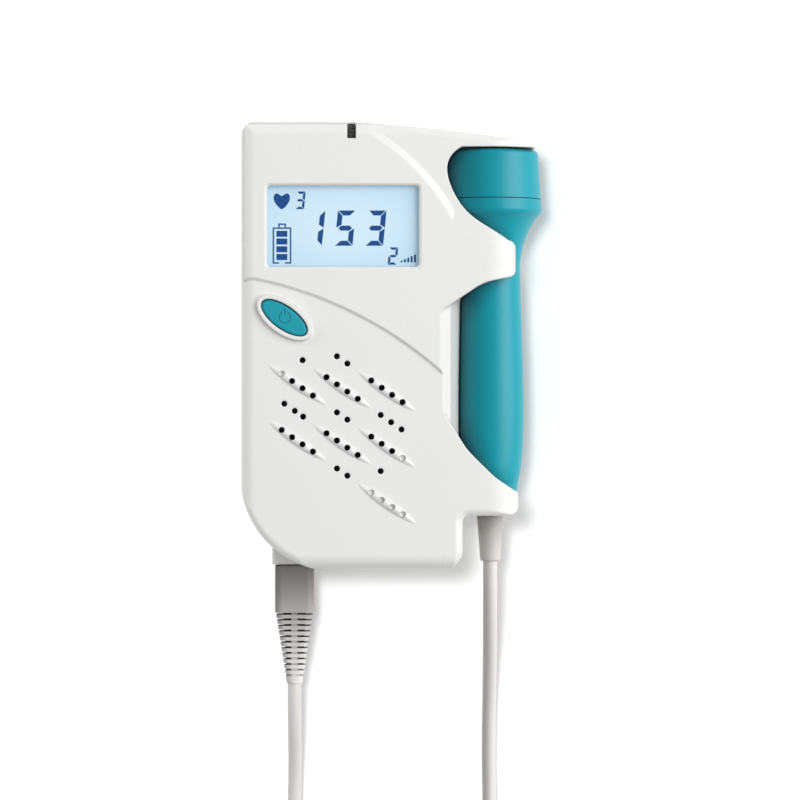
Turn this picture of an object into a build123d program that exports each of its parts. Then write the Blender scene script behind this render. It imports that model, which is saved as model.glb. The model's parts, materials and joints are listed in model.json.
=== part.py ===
from build123d import *
import math
import os

os.makedirs("parts", exist_ok=True)

# A pocket fetal doppler, lying on its back with its probe parked in the bay along its right side.
# X runs across the unit, Y along it towards the probe's head, and Z up from the table to the display.
# All sizes are millimetres.

# ---------------------------------------------------------------- driving sizes
collar_rise = 0.6  # how far the button's collar stands above the display zone
zone_step = 0.8  # how far the display zone stands above the rest of the front
wall = 2.2  # the covers' wall
edge_radius = 2.4  # rounding along the covers' outline
corner_radius = 5.0  # the outline's upper left corner
side_round = 4.4  # rounding of the long left side and both ends
foot_rise = 16.1  # from the lower end up to the underside of the foot that holds the probe
foot_reach = 8.2  # foot, from the probe's axis to its tip
finger_reach = 7.4  # finger over the probe's neck, from the probe's axis to its tip
finger_width = 10.2
column_inset = 8.5  # right side of the lower end, from the probe's axis
bay_gap = 0.4  # between the probe and its bay
way_gap = 0.3  # between the probe and the way that it leaves by
fit = 0.1  # between pieces that are assembled and stay where they are
run = 0.3  # between pieces that move against each other

head_radius = 15.7  # the probe's head at its shoulder
head_taper = 1.1  # how much smaller the head's radius is at its end
neck_radius = 9.15
belly_radius = 10.25
tail_radius = 8.45
probe_drop = 8.2  # the probe's end face, below the unit's upper end
cap_length = 14.9  # the probe's front cap, from the end face to the seam
flare_length = 34.4  # from the end face to the neck
shell = 1.8  # the probe's wall
relief_radius = 4.05  # strain relief at the foot
relief_end_radius = 3.0
relief_length = 14.0  # strain relief beyond the foot
cord_diameter = 4.3

display_width = 45.6
display_height = 24.4
display_left = 8.0  # from the unit's left side
display_top = 19.6  # from the unit's upper end
lens_thickness = 1.2
lens_depth = 1.2  # the display lens lies this far below the front
display_margin = 3.4  # from the display's right edge to the wall inside
board_thickness = 1.6
front_room = 7.8  # from the main board to the front's inside

button_length = 16.0
button_width = 6.6
button_angle = -35.6
button_travel = 0.8
button_left = 13.2  # the button's centre, from the unit's left side
button_down = 59.3  # and from the unit's upper end

ridge_angle = -34.7
ridge_half = 12.9  # a grille ridge, half of its full length
ridge_radius = 1.5
ridge_sink = 0.5  # its axis, below the front
hole_radius = 0.9
hole_pitch = 3.8
column_pitch = 13.45
column_drop = 1.0
row_pitch = 16.85
grille_left = 30.5  # the middle column of ridges, from the unit's left side
grille_down = 80.4  # its upper ridge, from the unit's upper end
grille_below = 20.9  # from its lowest ridge to the unit's lower end

wheel_radius = 6.8
wheel_width = 2.0
wheel_aside = 2.55  # the volume wheel, to the right of the display's middle

cell_radius = 7.25
cell_length = 50.5
cell_pitch = 15.0
cell_floor = 2.3  # the cells lie this high above the back
cell_cover = 2.2  # from the cells to the main board
cells_up = 17.25  # the battery room, above the unit's lower end
door_thickness = 1.8

plug_left = 15.7  # the plug's middle, from the unit's left side
plug_z = 9.6
boot_width = 11.8
boot_height = 9.4
boot_block = 14.4  # the boot's straight part
boot_length = 36.0
boot_end = 4.8
rib_rows = 12
rib_pitch = 1.71
rib_gap = 0.6
spine_width = 1.8
nose_width = 9.65
nose_height = 6.6
nose_length = 12.0
socket_wall = 0.9
boss_wall = 0.7

# ---------------------------------------------------------------- places that follow from them
# The unit is as wide as its display and its probe's head, as long as its grille reaches, and as thick as
# its cells, its board and its display take.
width = display_left + display_width + display_margin + wall + bay_gap + 2 * head_radius
length = grille_down + 2 * row_pitch + grille_below
board_z = cell_floor + 2 * cell_radius + cell_cover
board_top = board_z + board_thickness
cavity_top = board_top + front_room
low_z = cavity_top + wall
face_z = low_z + zone_step
thickness = face_z + collar_rise

left = -width / 2
top = length / 2
bottom = -length / 2
probe_x = width / 2 - head_radius
mid_z = thickness / 2
face_radius = head_radius - head_taper
finger_tip = probe_x + finger_reach
foot_tip = probe_x + foot_reach
cap_tip = probe_x + head_radius - 0.8
column_x = probe_x - column_inset
foot_y = bottom + foot_rise

probe_top = top - probe_drop
seam_y = probe_top - cap_length
shoulder_y = seam_y - 3.1
neck_y = probe_top - flare_length
finger_y = probe_top - 33.2
tail_y = foot_y + 9.5
probe_end = foot_y + 3.4
relief_end = foot_y - relief_length

cavity_right = probe_x - head_radius - bay_gap - wall
seam_z = mid_z


def at(part, x, y):
    """The vertex of a sketch or line that lies nearest to a place."""
    return part.vertices().sort_by_distance((x, y, 0))[0]


# ---------------------------------------------------------------- the unit's outline and outer shape
with BuildSketch() as outline:
    with BuildLine():
        Polyline((left, bottom + 24.5), (left, top), (left + 23.5, top))
        ThreePointArc((left + 23.5, top), (cap_tip - 32.7, top - 2.3), (cap_tip - 10.3, top - 5.1))
        ThreePointArc((cap_tip - 10.3, top - 5.1), (cap_tip - 4.5, top - 6.5), (cap_tip, top - 8.7))
        Polyline(
            (cap_tip, top - 8.7),
            (finger_tip, finger_y + finger_width / 2 + 2),
            (finger_tip, finger_y - finger_width / 2 - 1),
            (foot_tip, foot_y + 9.4),
            (foot_tip, foot_y),
            (column_x, foot_y),
            (column_x, bottom),
            (left + 22.7, bottom),
        )
        ThreePointArc((left + 22.7, bottom), (left + 7.5, bottom + 8.6), (left, bottom + 24.5))
    make_face()
    fillet(at(outline, left, top), corner_radius)
    fillet(at(outline, cap_tip, top - 8.7), edge_radius + 0.2)
    fillet(at(outline, foot_tip, foot_y), 3)
    fillet(at(outline, column_x, foot_y), 2)
    fillet(at(outline, column_x, bottom), 6)
    fillet(at(outline, left + 22.7, bottom), 12)
    fillet(at(outline, left, bottom + 24.5), 12)


def hull(height):
    """The unit's outer shape up to a height, with its sides and ends rounded."""
    with BuildPart() as solid:
        with BuildSketch():
            add(outline.sketch)
        extrude(amount=height)
        fillet(solid.edges().group_by(Axis.Z)[-1], edge_radius)
        fillet(solid.edges().group_by(Axis.Z)[0], edge_radius)
        with BuildSketch(Plane.XZ):
            with BuildLine():
                low = side_round
                high = height - side_round
                fall = 11.0
                reach = 17.5
                Line((left, low), (left, high))
                EllipticalCenterArc((left + low, high), side_round, side_round, 90, arc_size=90)
                Line((left + low, height), (probe_x - 2, height))
                EllipticalCenterArc((probe_x - 2, height - fall), reach, fall, 0, arc_size=90)
                Line((probe_x - 2 + reach, height - fall), (probe_x - 2 + reach, fall))
                EllipticalCenterArc((probe_x - 2, fall), reach, fall, 270, arc_size=90)
                Line((probe_x - 2, 0), (left + low, 0))
                EllipticalCenterArc((left + low, low), side_round, side_round, 180, arc_size=90)
            make_face()
        extrude(amount=length, both=True, mode=Mode.INTERSECT)
        with BuildSketch(Plane.YZ):
            with Locations((0, height / 2)):
                RectangleRounded(length, height, side_round)
        extrude(amount=width, both=True, mode=Mode.INTERSECT)
    return solid.part


def zone_face(z, spread_a, spread_c):
    """The display zone's outline, with its upper right and lower edges spread outwards."""
    a = spread_a * 0.7
    c = spread_c
    with BuildSketch(Plane.XY.offset(z)) as face:
        with BuildLine():
            ThreePointArc(
                (left - 2, top - 46.9 - c),
                (left + 35.9, top - 59.1 - c),
                (probe_x - 12, top - 78.6 - c),
            )
            Polyline(
                (probe_x - 12, top - 78.6 - c),
                (probe_x + 25, top - 78.6 - c),
                (probe_x + 25, top - 24.5),
                (probe_x - 5 + a, top - 26.5 + a),
                (probe_x - 9 + a, top - 30.9 + a),
            )
            ThreePointArc(
                (probe_x - 9 + a, top - 30.9 + a),
                (probe_x - 19.9 + a, top - 15 + a),
                (probe_x - 40.8 + a, top + 0.4 + a),
            )
            Polyline(
                (probe_x - 40.8 + a, top + 0.4 + a),
                (probe_x - 41 + a, top + 6 + a),
                (left - 2, top + 6 + a),
                (left - 2, top - 46.9 - c),
            )
        make_face()
    return face.sketch


slope_a = 2.5  # the zone's upper right edge is a slope, this far out for each millimetre down
slope_c = 0.9
with BuildPart() as zone:
    loft(
        [
            zone_face(low_z - 1, slope_a, slope_c),
            zone_face(face_z + 1, -slope_a * (1 + zone_step), -slope_c * (1 + zone_step)),
        ],
        ruled=True,
    )

with BuildPart() as body:
    add(hull(face_z))
    add(zone.part, mode=Mode.INTERSECT)
    add(hull(low_z))

# ---------------------------------------------------------------- the bay that the probe lies in
flat = Plane(origin=(probe_x, 0, mid_z), x_dir=(1, 0, 0), z_dir=(0, 0, 1))
upright = Plane(origin=(probe_x, 0, mid_z), x_dir=(0, 0, 1), z_dir=(-1, 0, 0))
probe_axis = Axis((probe_x, 0, mid_z), (0, 1, 0))
sideways = 30.0


def probe_section(plane, grow, end_gap=0.0, whole=False):
    """The probe's section, half or whole: local X is the distance from its axis, local Y the unit's Y."""
    face = face_radius + grow
    head = head_radius + grow
    neck = neck_radius + grow
    belly = belly_radius + grow
    tail = tail_radius + grow
    start = probe_top + end_gap
    end = probe_end - end_gap
    with BuildSketch(plane) as half:
        with BuildLine():
            Line((0, start), (face - 1.6, start))
            ThreePointArc((face - 1.6, start), (face - 0.47, start - 0.47), (face, start - 1.6))
            Polyline((face, start - 1.6), (head - 0.3, seam_y + 0.5), (head, shoulder_y))
            ThreePointArc(
                (head, shoulder_y), (head - 0.35, shoulder_y - 1.1), (head - 1.2, shoulder_y - 2)
            )
            ThreePointArc(
                (head - 1.2, shoulder_y - 2), (neck + 2.25, probe_top - 25.3), (neck, neck_y)
            )
            Spline(
                (neck, neck_y),
                (neck + 0.6, neck_y - 23.4),
                (belly, neck_y - 41.9),
                (belly - 0.45, tail_y + 9.2),
                (tail, tail_y),
                tangents=((0, -1), (-0.28, -1)),
            )
            ThreePointArc((tail, tail_y), (tail - 1.2, tail_y - 3.8), (tail - 3.5, end))
            Polyline((tail - 3.5, end), (0, end), (0, start))
        make_face()
        if whole:
            mirror(about=Plane.YZ)
    return half.sketch


tip_round = 2.2  # the finger's corners
window_brim = 2.4  # depth of the bevelled brim on the handle window's left side
brim_slope = 2.2  # how far the left side comes in over the brim
side_slope = 6.2  # and down to the unit's middle


def head_window(z):
    """The window over the probe's head. The finger's upper corner is rounded into it."""
    finger_up = finger_y + finger_width / 2
    with BuildSketch(Plane.XY.offset(z)) as face:
        with BuildLine():
            Spline(
                (probe_x - 8.8, probe_top + 0.4),
                (probe_x - 13.2, probe_top - 5.5),
                (probe_x - 11.5, probe_top - 12.8),
                (probe_x - 6.8, probe_top - 19.6),
                (probe_x, probe_top - 24.4),
                (finger_tip - tip_round, finger_up + 0.3),
            )
            ThreePointArc(
                (finger_tip - tip_round, finger_up + 0.3),
                (finger_tip - 0.3 * tip_round, finger_up - 0.25 * tip_round),
                (finger_tip + 0.05, finger_up - tip_round),
            )
            Polyline(
                (finger_tip + 0.05, finger_up - tip_round),
                (probe_x + 25, finger_up - tip_round),
                (probe_x + 25, probe_top + 0.4),
                (probe_x - 8.8, probe_top + 0.4),
            )
        make_face()
    return face.sketch


def handle_window(z, side):
    """The window beside the handle, with its left side moved inwards along its neighbours."""
    finger_down = finger_y - finger_width / 2
    with BuildSketch(Plane.XY.offset(z)) as face:
        with BuildLine():
            FilletPolyline(
                (probe_x + 25, finger_down + 2.6),
                (finger_tip + 0.05, finger_down + 2.6),
                (finger_tip + 0.05, finger_down - 0.1),
                (probe_x - 2.3, finger_down - 2.1),
                (probe_x - 14.4 + side, finger_down - 10.2 + 0.67 * side),
                (probe_x - 14.4 + side, foot_y + 31.4 - 1.6 * side),
                (probe_x - 7.2, foot_y + 19.9),
                (probe_x + 1.2, foot_y + 11.6),
                (probe_x + 8.7, foot_y + 6.6),
                (probe_x + 25, foot_y + 0.6),
                radius=(0.3, tip_round, 16, 3, 6 - 0.6 * side, 20 - 2 * side, 20, 20),
            )
            Line((probe_x + 25, foot_y + 0.6), (probe_x + 25, finger_down + 2.6))
        make_face()
    return face.sketch


with BuildPart() as bay:
    add(probe_section(flat, bay_gap, bay_gap))
    revolve(axis=probe_axis)
    with Locations(Location((probe_x, foot_y, mid_z), (90, 0, 0))):
        Cylinder(relief_radius + bay_gap, 3 * foot_rise)

# The probe leaves sideways, so its outline is carried on out of the unit's right side.
with BuildPart() as bay_way:
    add(probe_section(upright, way_gap, way_gap, whole=True))
    extrude(amount=sideways, dir=(1, 0, 0))
    with Locations((probe_x + sideways / 2, foot_y, mid_z)):
        Box(sideways, 3 * foot_rise, 2 * (relief_radius + way_gap))

with BuildPart() as window:
    extrude(head_window(thickness + 0.5), amount=-(thickness + 0.5 - mid_z))
    loft(
        [
            handle_window(low_z + window_brim, -brim_slope),
            handle_window(low_z - window_brim, brim_slope),
            handle_window(mid_z, side_slope),
        ],
        ruled=True,
    )
    mirror(about=Plane.XY.offset(mid_z))

# ---------------------------------------------------------------- what the two covers share
with BuildPart() as cavity:
    with BuildSketch(Plane.XY.offset(wall)):
        add(outline.sketch)
        offset(amount=-wall)
        with Locations((left + (cavity_right - left) / 2, 0)):
            Rectangle(cavity_right - left, length, mode=Mode.INTERSECT)
    extrude(amount=cavity_top - wall)

with BuildPart() as seam:
    with BuildSketch(Plane.XY.offset(seam_z - 0.2)):
        add(outline.sketch)
        offset(amount=1)
        offset(amount=-1.4, mode=Mode.SUBTRACT)
    extrude(amount=0.4)

with BuildPart() as covers:
    add(body.part)
    add(cavity.part, mode=Mode.SUBTRACT)
    add(bay.part, mode=Mode.SUBTRACT)
    add(bay_way.part, mode=Mode.SUBTRACT)
    add(window.part, mode=Mode.SUBTRACT)
    add(seam.part, mode=Mode.SUBTRACT)

boss_radius = 3.4
screw_radius = 1.3
screw_head_radius = 2.4
screw_places = [
    (left + 6.5, top - 7.0),
    (cavity_right - 4.4, top - 8.6),
    (left + 6.5, bottom + 33.5),
    (cavity_right + wall / 2 + screw_head_radius + 0.5, bottom + 9.0),
]
screw_seat = 8.0
screw_head = 1.8
screw_end = 24.0

post_places = [
    (left + 16.5, top - 10.0),
    (cavity_right - 3.6, top - 55.5),
    (left + 7.0, top - 83.5),
    (cavity_right - 3.6, top - 113.5),
]
post_radius = 2.2
board_screw_radius = 0.9
board_screw_head = 1.7

# ---------------------------------------------------------------- front cover
display_x = left + display_left + display_width / 2
display_y = top - display_top - display_height / 2
lens_width = display_width + 2.0
lens_height = display_height + 2.0
lens_top = face_z - lens_depth
lens_bottom = lens_top - lens_thickness
panel_width = display_width + 3.4
panel_height = display_height + 3.6
panel_thickness = 1.8

button_x = left + button_left
button_y = top - button_down
collar_gap = 0.3
collar_wall = 1.3

wheel_x = display_x + wheel_aside
wheel_y = top - 6.9
wheel_z = 22.9
slot_length = 10.8
pot_start = wheel_x + wheel_width / 2 + run
pot_length = 5.0
jack_aside = 3.85  # the jack, to the right of the wheel's potentiometer
jack_radius = 3.0
jack_x = pot_start + pot_length + jack_aside + jack_radius
jack_z = board_top + 3.0
jack_bore = 1.8

speaker_x = left + grille_left
speaker_y = top - grille_down - row_pitch / 2
speaker_radius = 18.0

grille_x = left + grille_left
grille_y = top - grille_down


def grille_place(column, row):
    """A place on the grille, in columns from its middle and rows down from its upper ridges."""
    return (grille_x + column * column_pitch, grille_y - column * column_drop - row * row_pitch)


# Three ridges in each of the first two rows, and one more below them on the right.
ridge_places = [grille_place(column, row) for row in (0, 1) for column in (-1, 0, 1)]
ridge_places.append(grille_place(1, 2))
# Short rows of holes lie between the ridges: column, row, and the holes' steps along the row.
flat_groups = [
    (-1, -0.5, (0.5,)),
    (0, -0.5, (-0.5, 0.5)),
    (-1, 0.5, (-1.25, -0.25, 0.55)),
    (0, 0.5, (-0.5, 0.5)),
    (1, 0.5, (-0.6, 0.4, 1.4)),
    (0, 1.5, (-0.5, 0.5)),
    (1, 1.5, (-0.6,)),
]
along = (math.cos(math.radians(ridge_angle)), math.sin(math.radians(ridge_angle)))


def along_ridge(place, steps):
    """A place that many hole pitches along a ridge from its middle."""
    return (
        place[0] + steps * hole_pitch * along[0],
        place[1] + steps * hole_pitch * along[1],
    )


ridge_steps = (-1.5, -0.5, 0.5, 1.5)
ridge_holes = [[along_ridge(place, step) for step in ridge_steps] for place in ridge_places]
blind_holes = [ridge_holes[0][0], ridge_holes[5][3], *ridge_holes[6]]
through_holes = [
    place for holes in ridge_holes for place in holes if place not in blind_holes
] + [
    along_ridge(grille_place(column, row), step)
    for column, row, steps in flat_groups
    for step in steps
]

with BuildPart() as ridge:
    with BuildSketch():
        with BuildLine():
            ThreePointArc((-ridge_half, 0), (0, ridge_radius), (ridge_half, 0))
            Line((ridge_half, 0), (-ridge_half, 0))
        make_face()
    revolve(axis=Axis.X)

with BuildPart() as front_cover:
    add(covers.part)
    with BuildSketch(Plane.XY.offset(seam_z)):
        Rectangle(2 * length, 2 * length)
    extrude(amount=seam_z, mode=Mode.INTERSECT)
    # Bosses for the case screws and posts for the board hang from the inside of the front.
    with BuildSketch(Plane.XY.offset(seam_z)):
        with Locations(screw_places):
            Circle(boss_radius - 0.4)
    extrude(amount=cavity_top - seam_z)
    with BuildSketch(Plane.XY.offset(board_top)):
        with Locations(post_places):
            Circle(post_radius)
    extrude(amount=cavity_top - board_top)
    with BuildSketch(Plane.XY.offset(cavity_top - 0.6)):
        with Locations((speaker_x, speaker_y)):
            Circle(speaker_radius)
            Circle(speaker_radius - 1.5, mode=Mode.SUBTRACT)
    extrude(amount=0.6)
    # The collar round the button, and the grille's ridges.
    with BuildSketch(Plane.XY.offset(cavity_top)):
        with Locations(Location((button_x, button_y), button_angle)):
            grown = 2 * (collar_gap + collar_wall)
            Ellipse((button_length + grown) / 2, (button_width + grown) / 2)
    extrude(amount=face_z + collar_rise - cavity_top)
    for place in ridge_places:
        add(ridge.part.located(Location((*place, low_z - ridge_sink), (0, 0, ridge_angle))))
    # The display's opening, the lens's seat behind it and the panel's behind that.
    with BuildSketch(Plane.XY.offset(face_z + 0.2)):
        with Locations((display_x, display_y)):
            RectangleRounded(display_width + 1.6, display_height + 1.6, 1.6)
    extrude(amount=-1.0, taper=45, mode=Mode.SUBTRACT)
    with BuildSketch(Plane.XY.offset(face_z)):
        with Locations((display_x, display_y)):
            RectangleRounded(display_width, display_height, 1.2)
    extrude(amount=-lens_depth, mode=Mode.SUBTRACT)
    with BuildSketch(Plane.XY.offset(lens_top)):
        with Locations((display_x, display_y)):
            RectangleRounded(lens_width + 2 * fit, lens_height + 2 * fit, 1.2)
    extrude(amount=-lens_thickness, mode=Mode.SUBTRACT)
    with BuildSketch(Plane.XY.offset(lens_bottom)):
        with Locations((display_x, display_y)):
            Rectangle(panel_width + 0.6, panel_height + 0.6)
    extrude(amount=cavity_top - lens_bottom - 0.1, mode=Mode.SUBTRACT)
    # The button's hole.
    with BuildSketch(Plane.XY.offset(cavity_top - 0.1)):
        with Locations(Location((button_x, button_y), button_angle)):
            Ellipse(button_length / 2 + collar_gap, button_width / 2 + collar_gap)
    extrude(amount=thickness, mode=Mode.SUBTRACT)
    # The volume wheel's room, which opens in a slot over the upper edge.
    with Locations(Location((wheel_x, wheel_y, wheel_z), (0, 90, 0))):
        Cylinder(wheel_radius + 0.5, wheel_width + 2 * run, mode=Mode.SUBTRACT)
    with Locations((wheel_x, top, wheel_z + 4)):
        Box(
            wheel_width + 2 * run,
            slot_length,
            thickness,
            align=(Align.CENTER, Align.CENTER, Align.MIN),
            mode=Mode.SUBTRACT,
        )
    # The headphone jack's hole in the upper end.
    with Locations(Location((jack_x, top, jack_z), (90, 0, 0))):
        Cylinder(jack_radius + fit, 12, mode=Mode.SUBTRACT)
    # The grille's holes. Six of them are only dimples.
    with Locations(*[(*place, cavity_top - 1) for place in through_holes]):
        Cylinder(hole_radius, 6, align=(Align.CENTER, Align.CENTER, Align.MIN), mode=Mode.SUBTRACT)
    with Locations(*[(*place, low_z - 0.4) for place in blind_holes]):
        Cylinder(hole_radius, 6, align=(Align.CENTER, Align.CENTER, Align.MIN), mode=Mode.SUBTRACT)
    # Pilot holes for the screws.
    with Locations(*[(*place, seam_z - 1) for place in screw_places]):
        Cylinder(
            screw_radius + 0.02,
            screw_end + 1.5 - seam_z,
            align=(Align.CENTER, Align.CENTER, Align.MIN),
            mode=Mode.SUBTRACT,
        )
    with Locations(*[(*place, board_z) for place in post_places]):
        Cylinder(
            board_screw_radius + 0.02,
            board_thickness + 5.5,
            align=(Align.CENTER, Align.CENTER, Align.MIN),
            mode=Mode.SUBTRACT,
        )

# ---------------------------------------------------------------- rear cover and battery door
bay_width = cell_pitch + 2 * cell_radius + 0.5
contact_room = 2.3
bay_length = cell_length + 2 * contact_room
bay_wall = 1.2
bay_side = 1.3  # between the battery room and the wall beside it
cells_x = cavity_right - bay_side - bay_width / 2
cells_y = bottom + cells_up + bay_length / 2
cell_z = cell_floor + cell_radius
label_width = 36.0
label_height = 22.0
label_depth = 0.3
door_side = 0.8  # how much wider the door is than the opening, on each side
door_gap = 0.2
door_end = cells_y + bay_length / 2 + 2.4
pad_thickness = 1.6
grip_rows = 6

plug_x = left + plug_left
boot_top = bottom + 0.6
socket_mouth = bottom + 1.3
socket_width = nose_width + 0.4 + 2 * socket_wall
socket_height = 12.0
socket_z = plug_z - 0.4
socket_length = 13.4
boss_width = socket_width + 2 * fit + 2 * boss_wall
boss_top = seam_z - 0.1


def door_shape(grow, start, end):
    """The door's dovetail section, grown by a gap, between two places along the unit."""
    inner = bay_width / 2 + door_side + 1 + grow
    outer = bay_width / 2 + door_side + grow
    with BuildPart() as shape:
        with BuildSketch(Plane.XZ.offset(-end)):
            with BuildLine():
                Polyline(
                    (cells_x - outer, 0),
                    (cells_x - inner, door_thickness + grow),
                    (cells_x + inner, door_thickness + grow),
                    (cells_x + outer, 0),
                    close=True,
                )
            make_face()
        extrude(amount=end - start)
    return shape.part


with BuildPart() as rear_cover:
    add(covers.part)
    with BuildSketch():
        Rectangle(2 * length, 2 * length)
    extrude(amount=seam_z, mode=Mode.INTERSECT)
    with BuildSketch():
        with Locations(screw_places):
            Circle(boss_radius)
    extrude(amount=seam_z)
    # A thicker floor round the batteries, which the door runs under, and their walls.
    with BuildSketch(Plane.XY.offset(wall)):
        with Locations((cells_x, (bottom + wall + door_end + 2) / 2)):
            Rectangle(bay_width + 4, door_end + 2 - bottom - wall)
    extrude(amount=pad_thickness)
    with BuildSketch(Plane.XY.offset(wall)):
        with Locations((cells_x, cells_y)):
            Rectangle(bay_width + 2 * bay_wall, bay_length + 2 * bay_wall)
            Rectangle(bay_width, bay_length, mode=Mode.SUBTRACT)
    extrude(amount=seam_z - wall - 0.4)
    # The boss that the probe's socket lies in stands square behind the rounded corner.
    with BuildSketch(Plane.XZ.offset(-(bottom + 1.1))):
        with Locations((plug_x, (boss_top + 2) / 2)):
            RectangleRounded(boss_width, boss_top - 2, 1)
    extrude(amount=-14.5)
    with BuildSketch(Plane.XZ.offset(-(bottom - 1))):
        with Locations((plug_x, socket_z)):
            Rectangle(socket_width + 2 * fit, socket_height + 2 * fit)
    extrude(amount=-20, mode=Mode.SUBTRACT)
    add(door_shape(door_gap, bottom - 1, door_end + door_gap), mode=Mode.SUBTRACT)
    with Locations((cells_x, cells_y, 0)):
        Box(bay_width, bay_length, 2 * (wall + pad_thickness), mode=Mode.SUBTRACT)
    with Locations(*[(*place, 0) for place in screw_places]):
        CounterBoreHole(screw_radius + 0.2, screw_head_radius + 0.4, screw_seat, 2 * seam_z)
    # A shallow, blank field for a label.
    with Locations((left + label_width / 2 + 12, top - label_height / 2 - 15, 0)):
        Box(label_width, label_height, 2 * label_depth, mode=Mode.SUBTRACT)

# Each cover is two solids that meet in the wall beside the bay: the box, and the frame that holds the probe.
bay_cut = Plane.YZ.offset(cavity_right + wall / 2)

with BuildPart() as front_box:
    add(front_cover.part)
    split(bisect_by=bay_cut, keep=Keep.BOTTOM)

with BuildPart() as front_bay:
    add(front_cover.part)
    split(bisect_by=bay_cut, keep=Keep.TOP)

with BuildPart() as rear_box:
    add(rear_cover.part)
    split(bisect_by=bay_cut, keep=Keep.BOTTOM)

with BuildPart() as rear_bay:
    add(rear_cover.part)
    split(bisect_by=bay_cut, keep=Keep.TOP)

with BuildPart() as battery_door:
    add(body.part)
    add(door_shape(0, bottom - 1, door_end), mode=Mode.INTERSECT)
    with Locations(*[(cells_x, bottom + 14 + 2.2 * row, 0) for row in range(grip_rows)]):
        Box(18, 1.0, 1.0, mode=Mode.SUBTRACT)

with BuildPart() as case_screws:
    with Locations(*[(*place, screw_seat - screw_head) for place in screw_places]):
        Cylinder(screw_head_radius, screw_head, align=(Align.CENTER, Align.CENTER, Align.MIN))
    with Locations(*[(*place, screw_seat) for place in screw_places]):
        Cylinder(screw_radius, screw_end - screw_seat, align=(Align.CENTER, Align.CENTER, Align.MIN))
    with Locations(*[(*place, screw_seat - screw_head) for place in screw_places]):
        Box(2.6, 0.6, 1.4, mode=Mode.SUBTRACT)
        Box(0.6, 2.6, 1.4, mode=Mode.SUBTRACT)

# ---------------------------------------------------------------- batteries and their contacts
nub_radius = 2.7
nub_length = 1.2


def cell(x, up):
    """A cell along Y, with its positive end towards +Y (up = 1) or -Y (up = -1)."""
    can = cell_length - nub_length
    with BuildPart() as piece:
        with BuildSketch(Plane.XZ.offset(-(cells_y - up * cell_length / 2))):
            with Locations((x, cell_z)):
                Circle(cell_radius)
        extrude(amount=-up * can)
        fillet(piece.edges(), 0.5)
        with BuildSketch(Plane.XZ.offset(-(cells_y + up * (cell_length / 2 - nub_length)))):
            with Locations((x, cell_z)):
                Circle(nub_radius)
        extrude(amount=-up * nub_length)
    return piece


battery_1 = cell(cells_x - cell_pitch / 2, 1)
battery_2 = cell(cells_x + cell_pitch / 2, -1)

with BuildPart() as battery_springs:
    for side in (-1, 1):
        flat_end = cells_y + side * (cell_length / 2 + 0.1)
        with BuildSketch(Plane.XZ.offset(-flat_end)):
            with Locations((cells_x + side * cell_pitch / 2, cell_z)):
                Circle(2.4)
        with BuildSketch(Plane.XZ.offset(-(flat_end + side * (contact_room - 0.7)))):
            with Locations((cells_x + side * cell_pitch / 2, cell_z)):
                Circle(4.2)
        loft()

with BuildPart() as battery_contacts:
    for side in (-1, 1):
        end = cells_y + side * (bay_length / 2 - 0.3)
        with BuildSketch(Plane.XZ.offset(-end)):
            with Locations((cells_x, cell_z - 0.6)):
                Rectangle(bay_width - 1, 11)
        extrude(amount=0.25, both=True)
        with BuildSketch(Plane.XZ.offset(-(end - side * 0.25))):
            with Locations((cells_x - side * cell_pitch / 2, cell_z)):
                Circle(2.2)
        extrude(amount=side * (contact_room - 0.65))

# ---------------------------------------------------------------- board and what stands on it
with BuildPart() as main_board:
    with BuildSketch(Plane.XY.offset(board_z)):
        add(outline.sketch)
        offset(amount=-(wall + 0.8))
        with Locations((left + (cavity_right - 0.6 - left) / 2, 0)):
            Rectangle(cavity_right - 0.6 - left, length, mode=Mode.INTERSECT)
        with Locations(screw_places):
            Circle(boss_radius + 0.3, mode=Mode.SUBTRACT)
        with Locations((wheel_x, top)):
            Rectangle(wheel_width + 1.6, 2 * (top - wheel_y + wheel_radius + 0.8), mode=Mode.SUBTRACT)
        with Locations(post_places):
            Circle(board_screw_radius + 0.2, mode=Mode.SUBTRACT)
    extrude(amount=board_thickness)

with BuildPart() as board_screws:
    with Locations(*[(*place, board_z - 1.2) for place in post_places]):
        Cylinder(board_screw_head, 1.2, align=(Align.CENTER, Align.CENTER, Align.MIN))
        Cylinder(board_screw_radius, 6.5, align=(Align.CENTER, Align.CENTER, Align.MIN))

with BuildPart() as board_components:
    with Locations((cells_x - 3, button_y + 2, board_top)):
        Box(12, 9, 1.3, align=(Align.CENTER, Align.CENTER, Align.MIN))
    with Locations((cells_x - 2, bottom + 15, board_top)):
        Box(10, 10, 1.4, align=(Align.CENTER, Align.CENTER, Align.MIN))
    with Locations((cells_x - 17, bottom + 15, board_top), (cells_x - 24, bottom + 18, board_top)):
        Cylinder(2.5, 5.4, align=(Align.CENTER, Align.CENTER, Align.MIN))
    with Locations((cells_x + 9, bottom + 13, board_top)):
        Box(4.6, 3.6, 3.4, align=(Align.CENTER, Align.CENTER, Align.MIN))

panel_top = lens_bottom - fit
panel_bottom = panel_top - panel_thickness

with BuildPart() as display_lens:
    with BuildSketch(Plane.XY.offset(lens_bottom)):
        with Locations((display_x, display_y)):
            RectangleRounded(lens_width, lens_height, 1.1)
    extrude(amount=lens_thickness)

with BuildPart() as display_panel:
    with BuildSketch(Plane.XY.offset(panel_bottom)):
        with Locations((display_x, display_y)):
            Rectangle(panel_width, panel_height)
    extrude(amount=panel_thickness)

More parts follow.
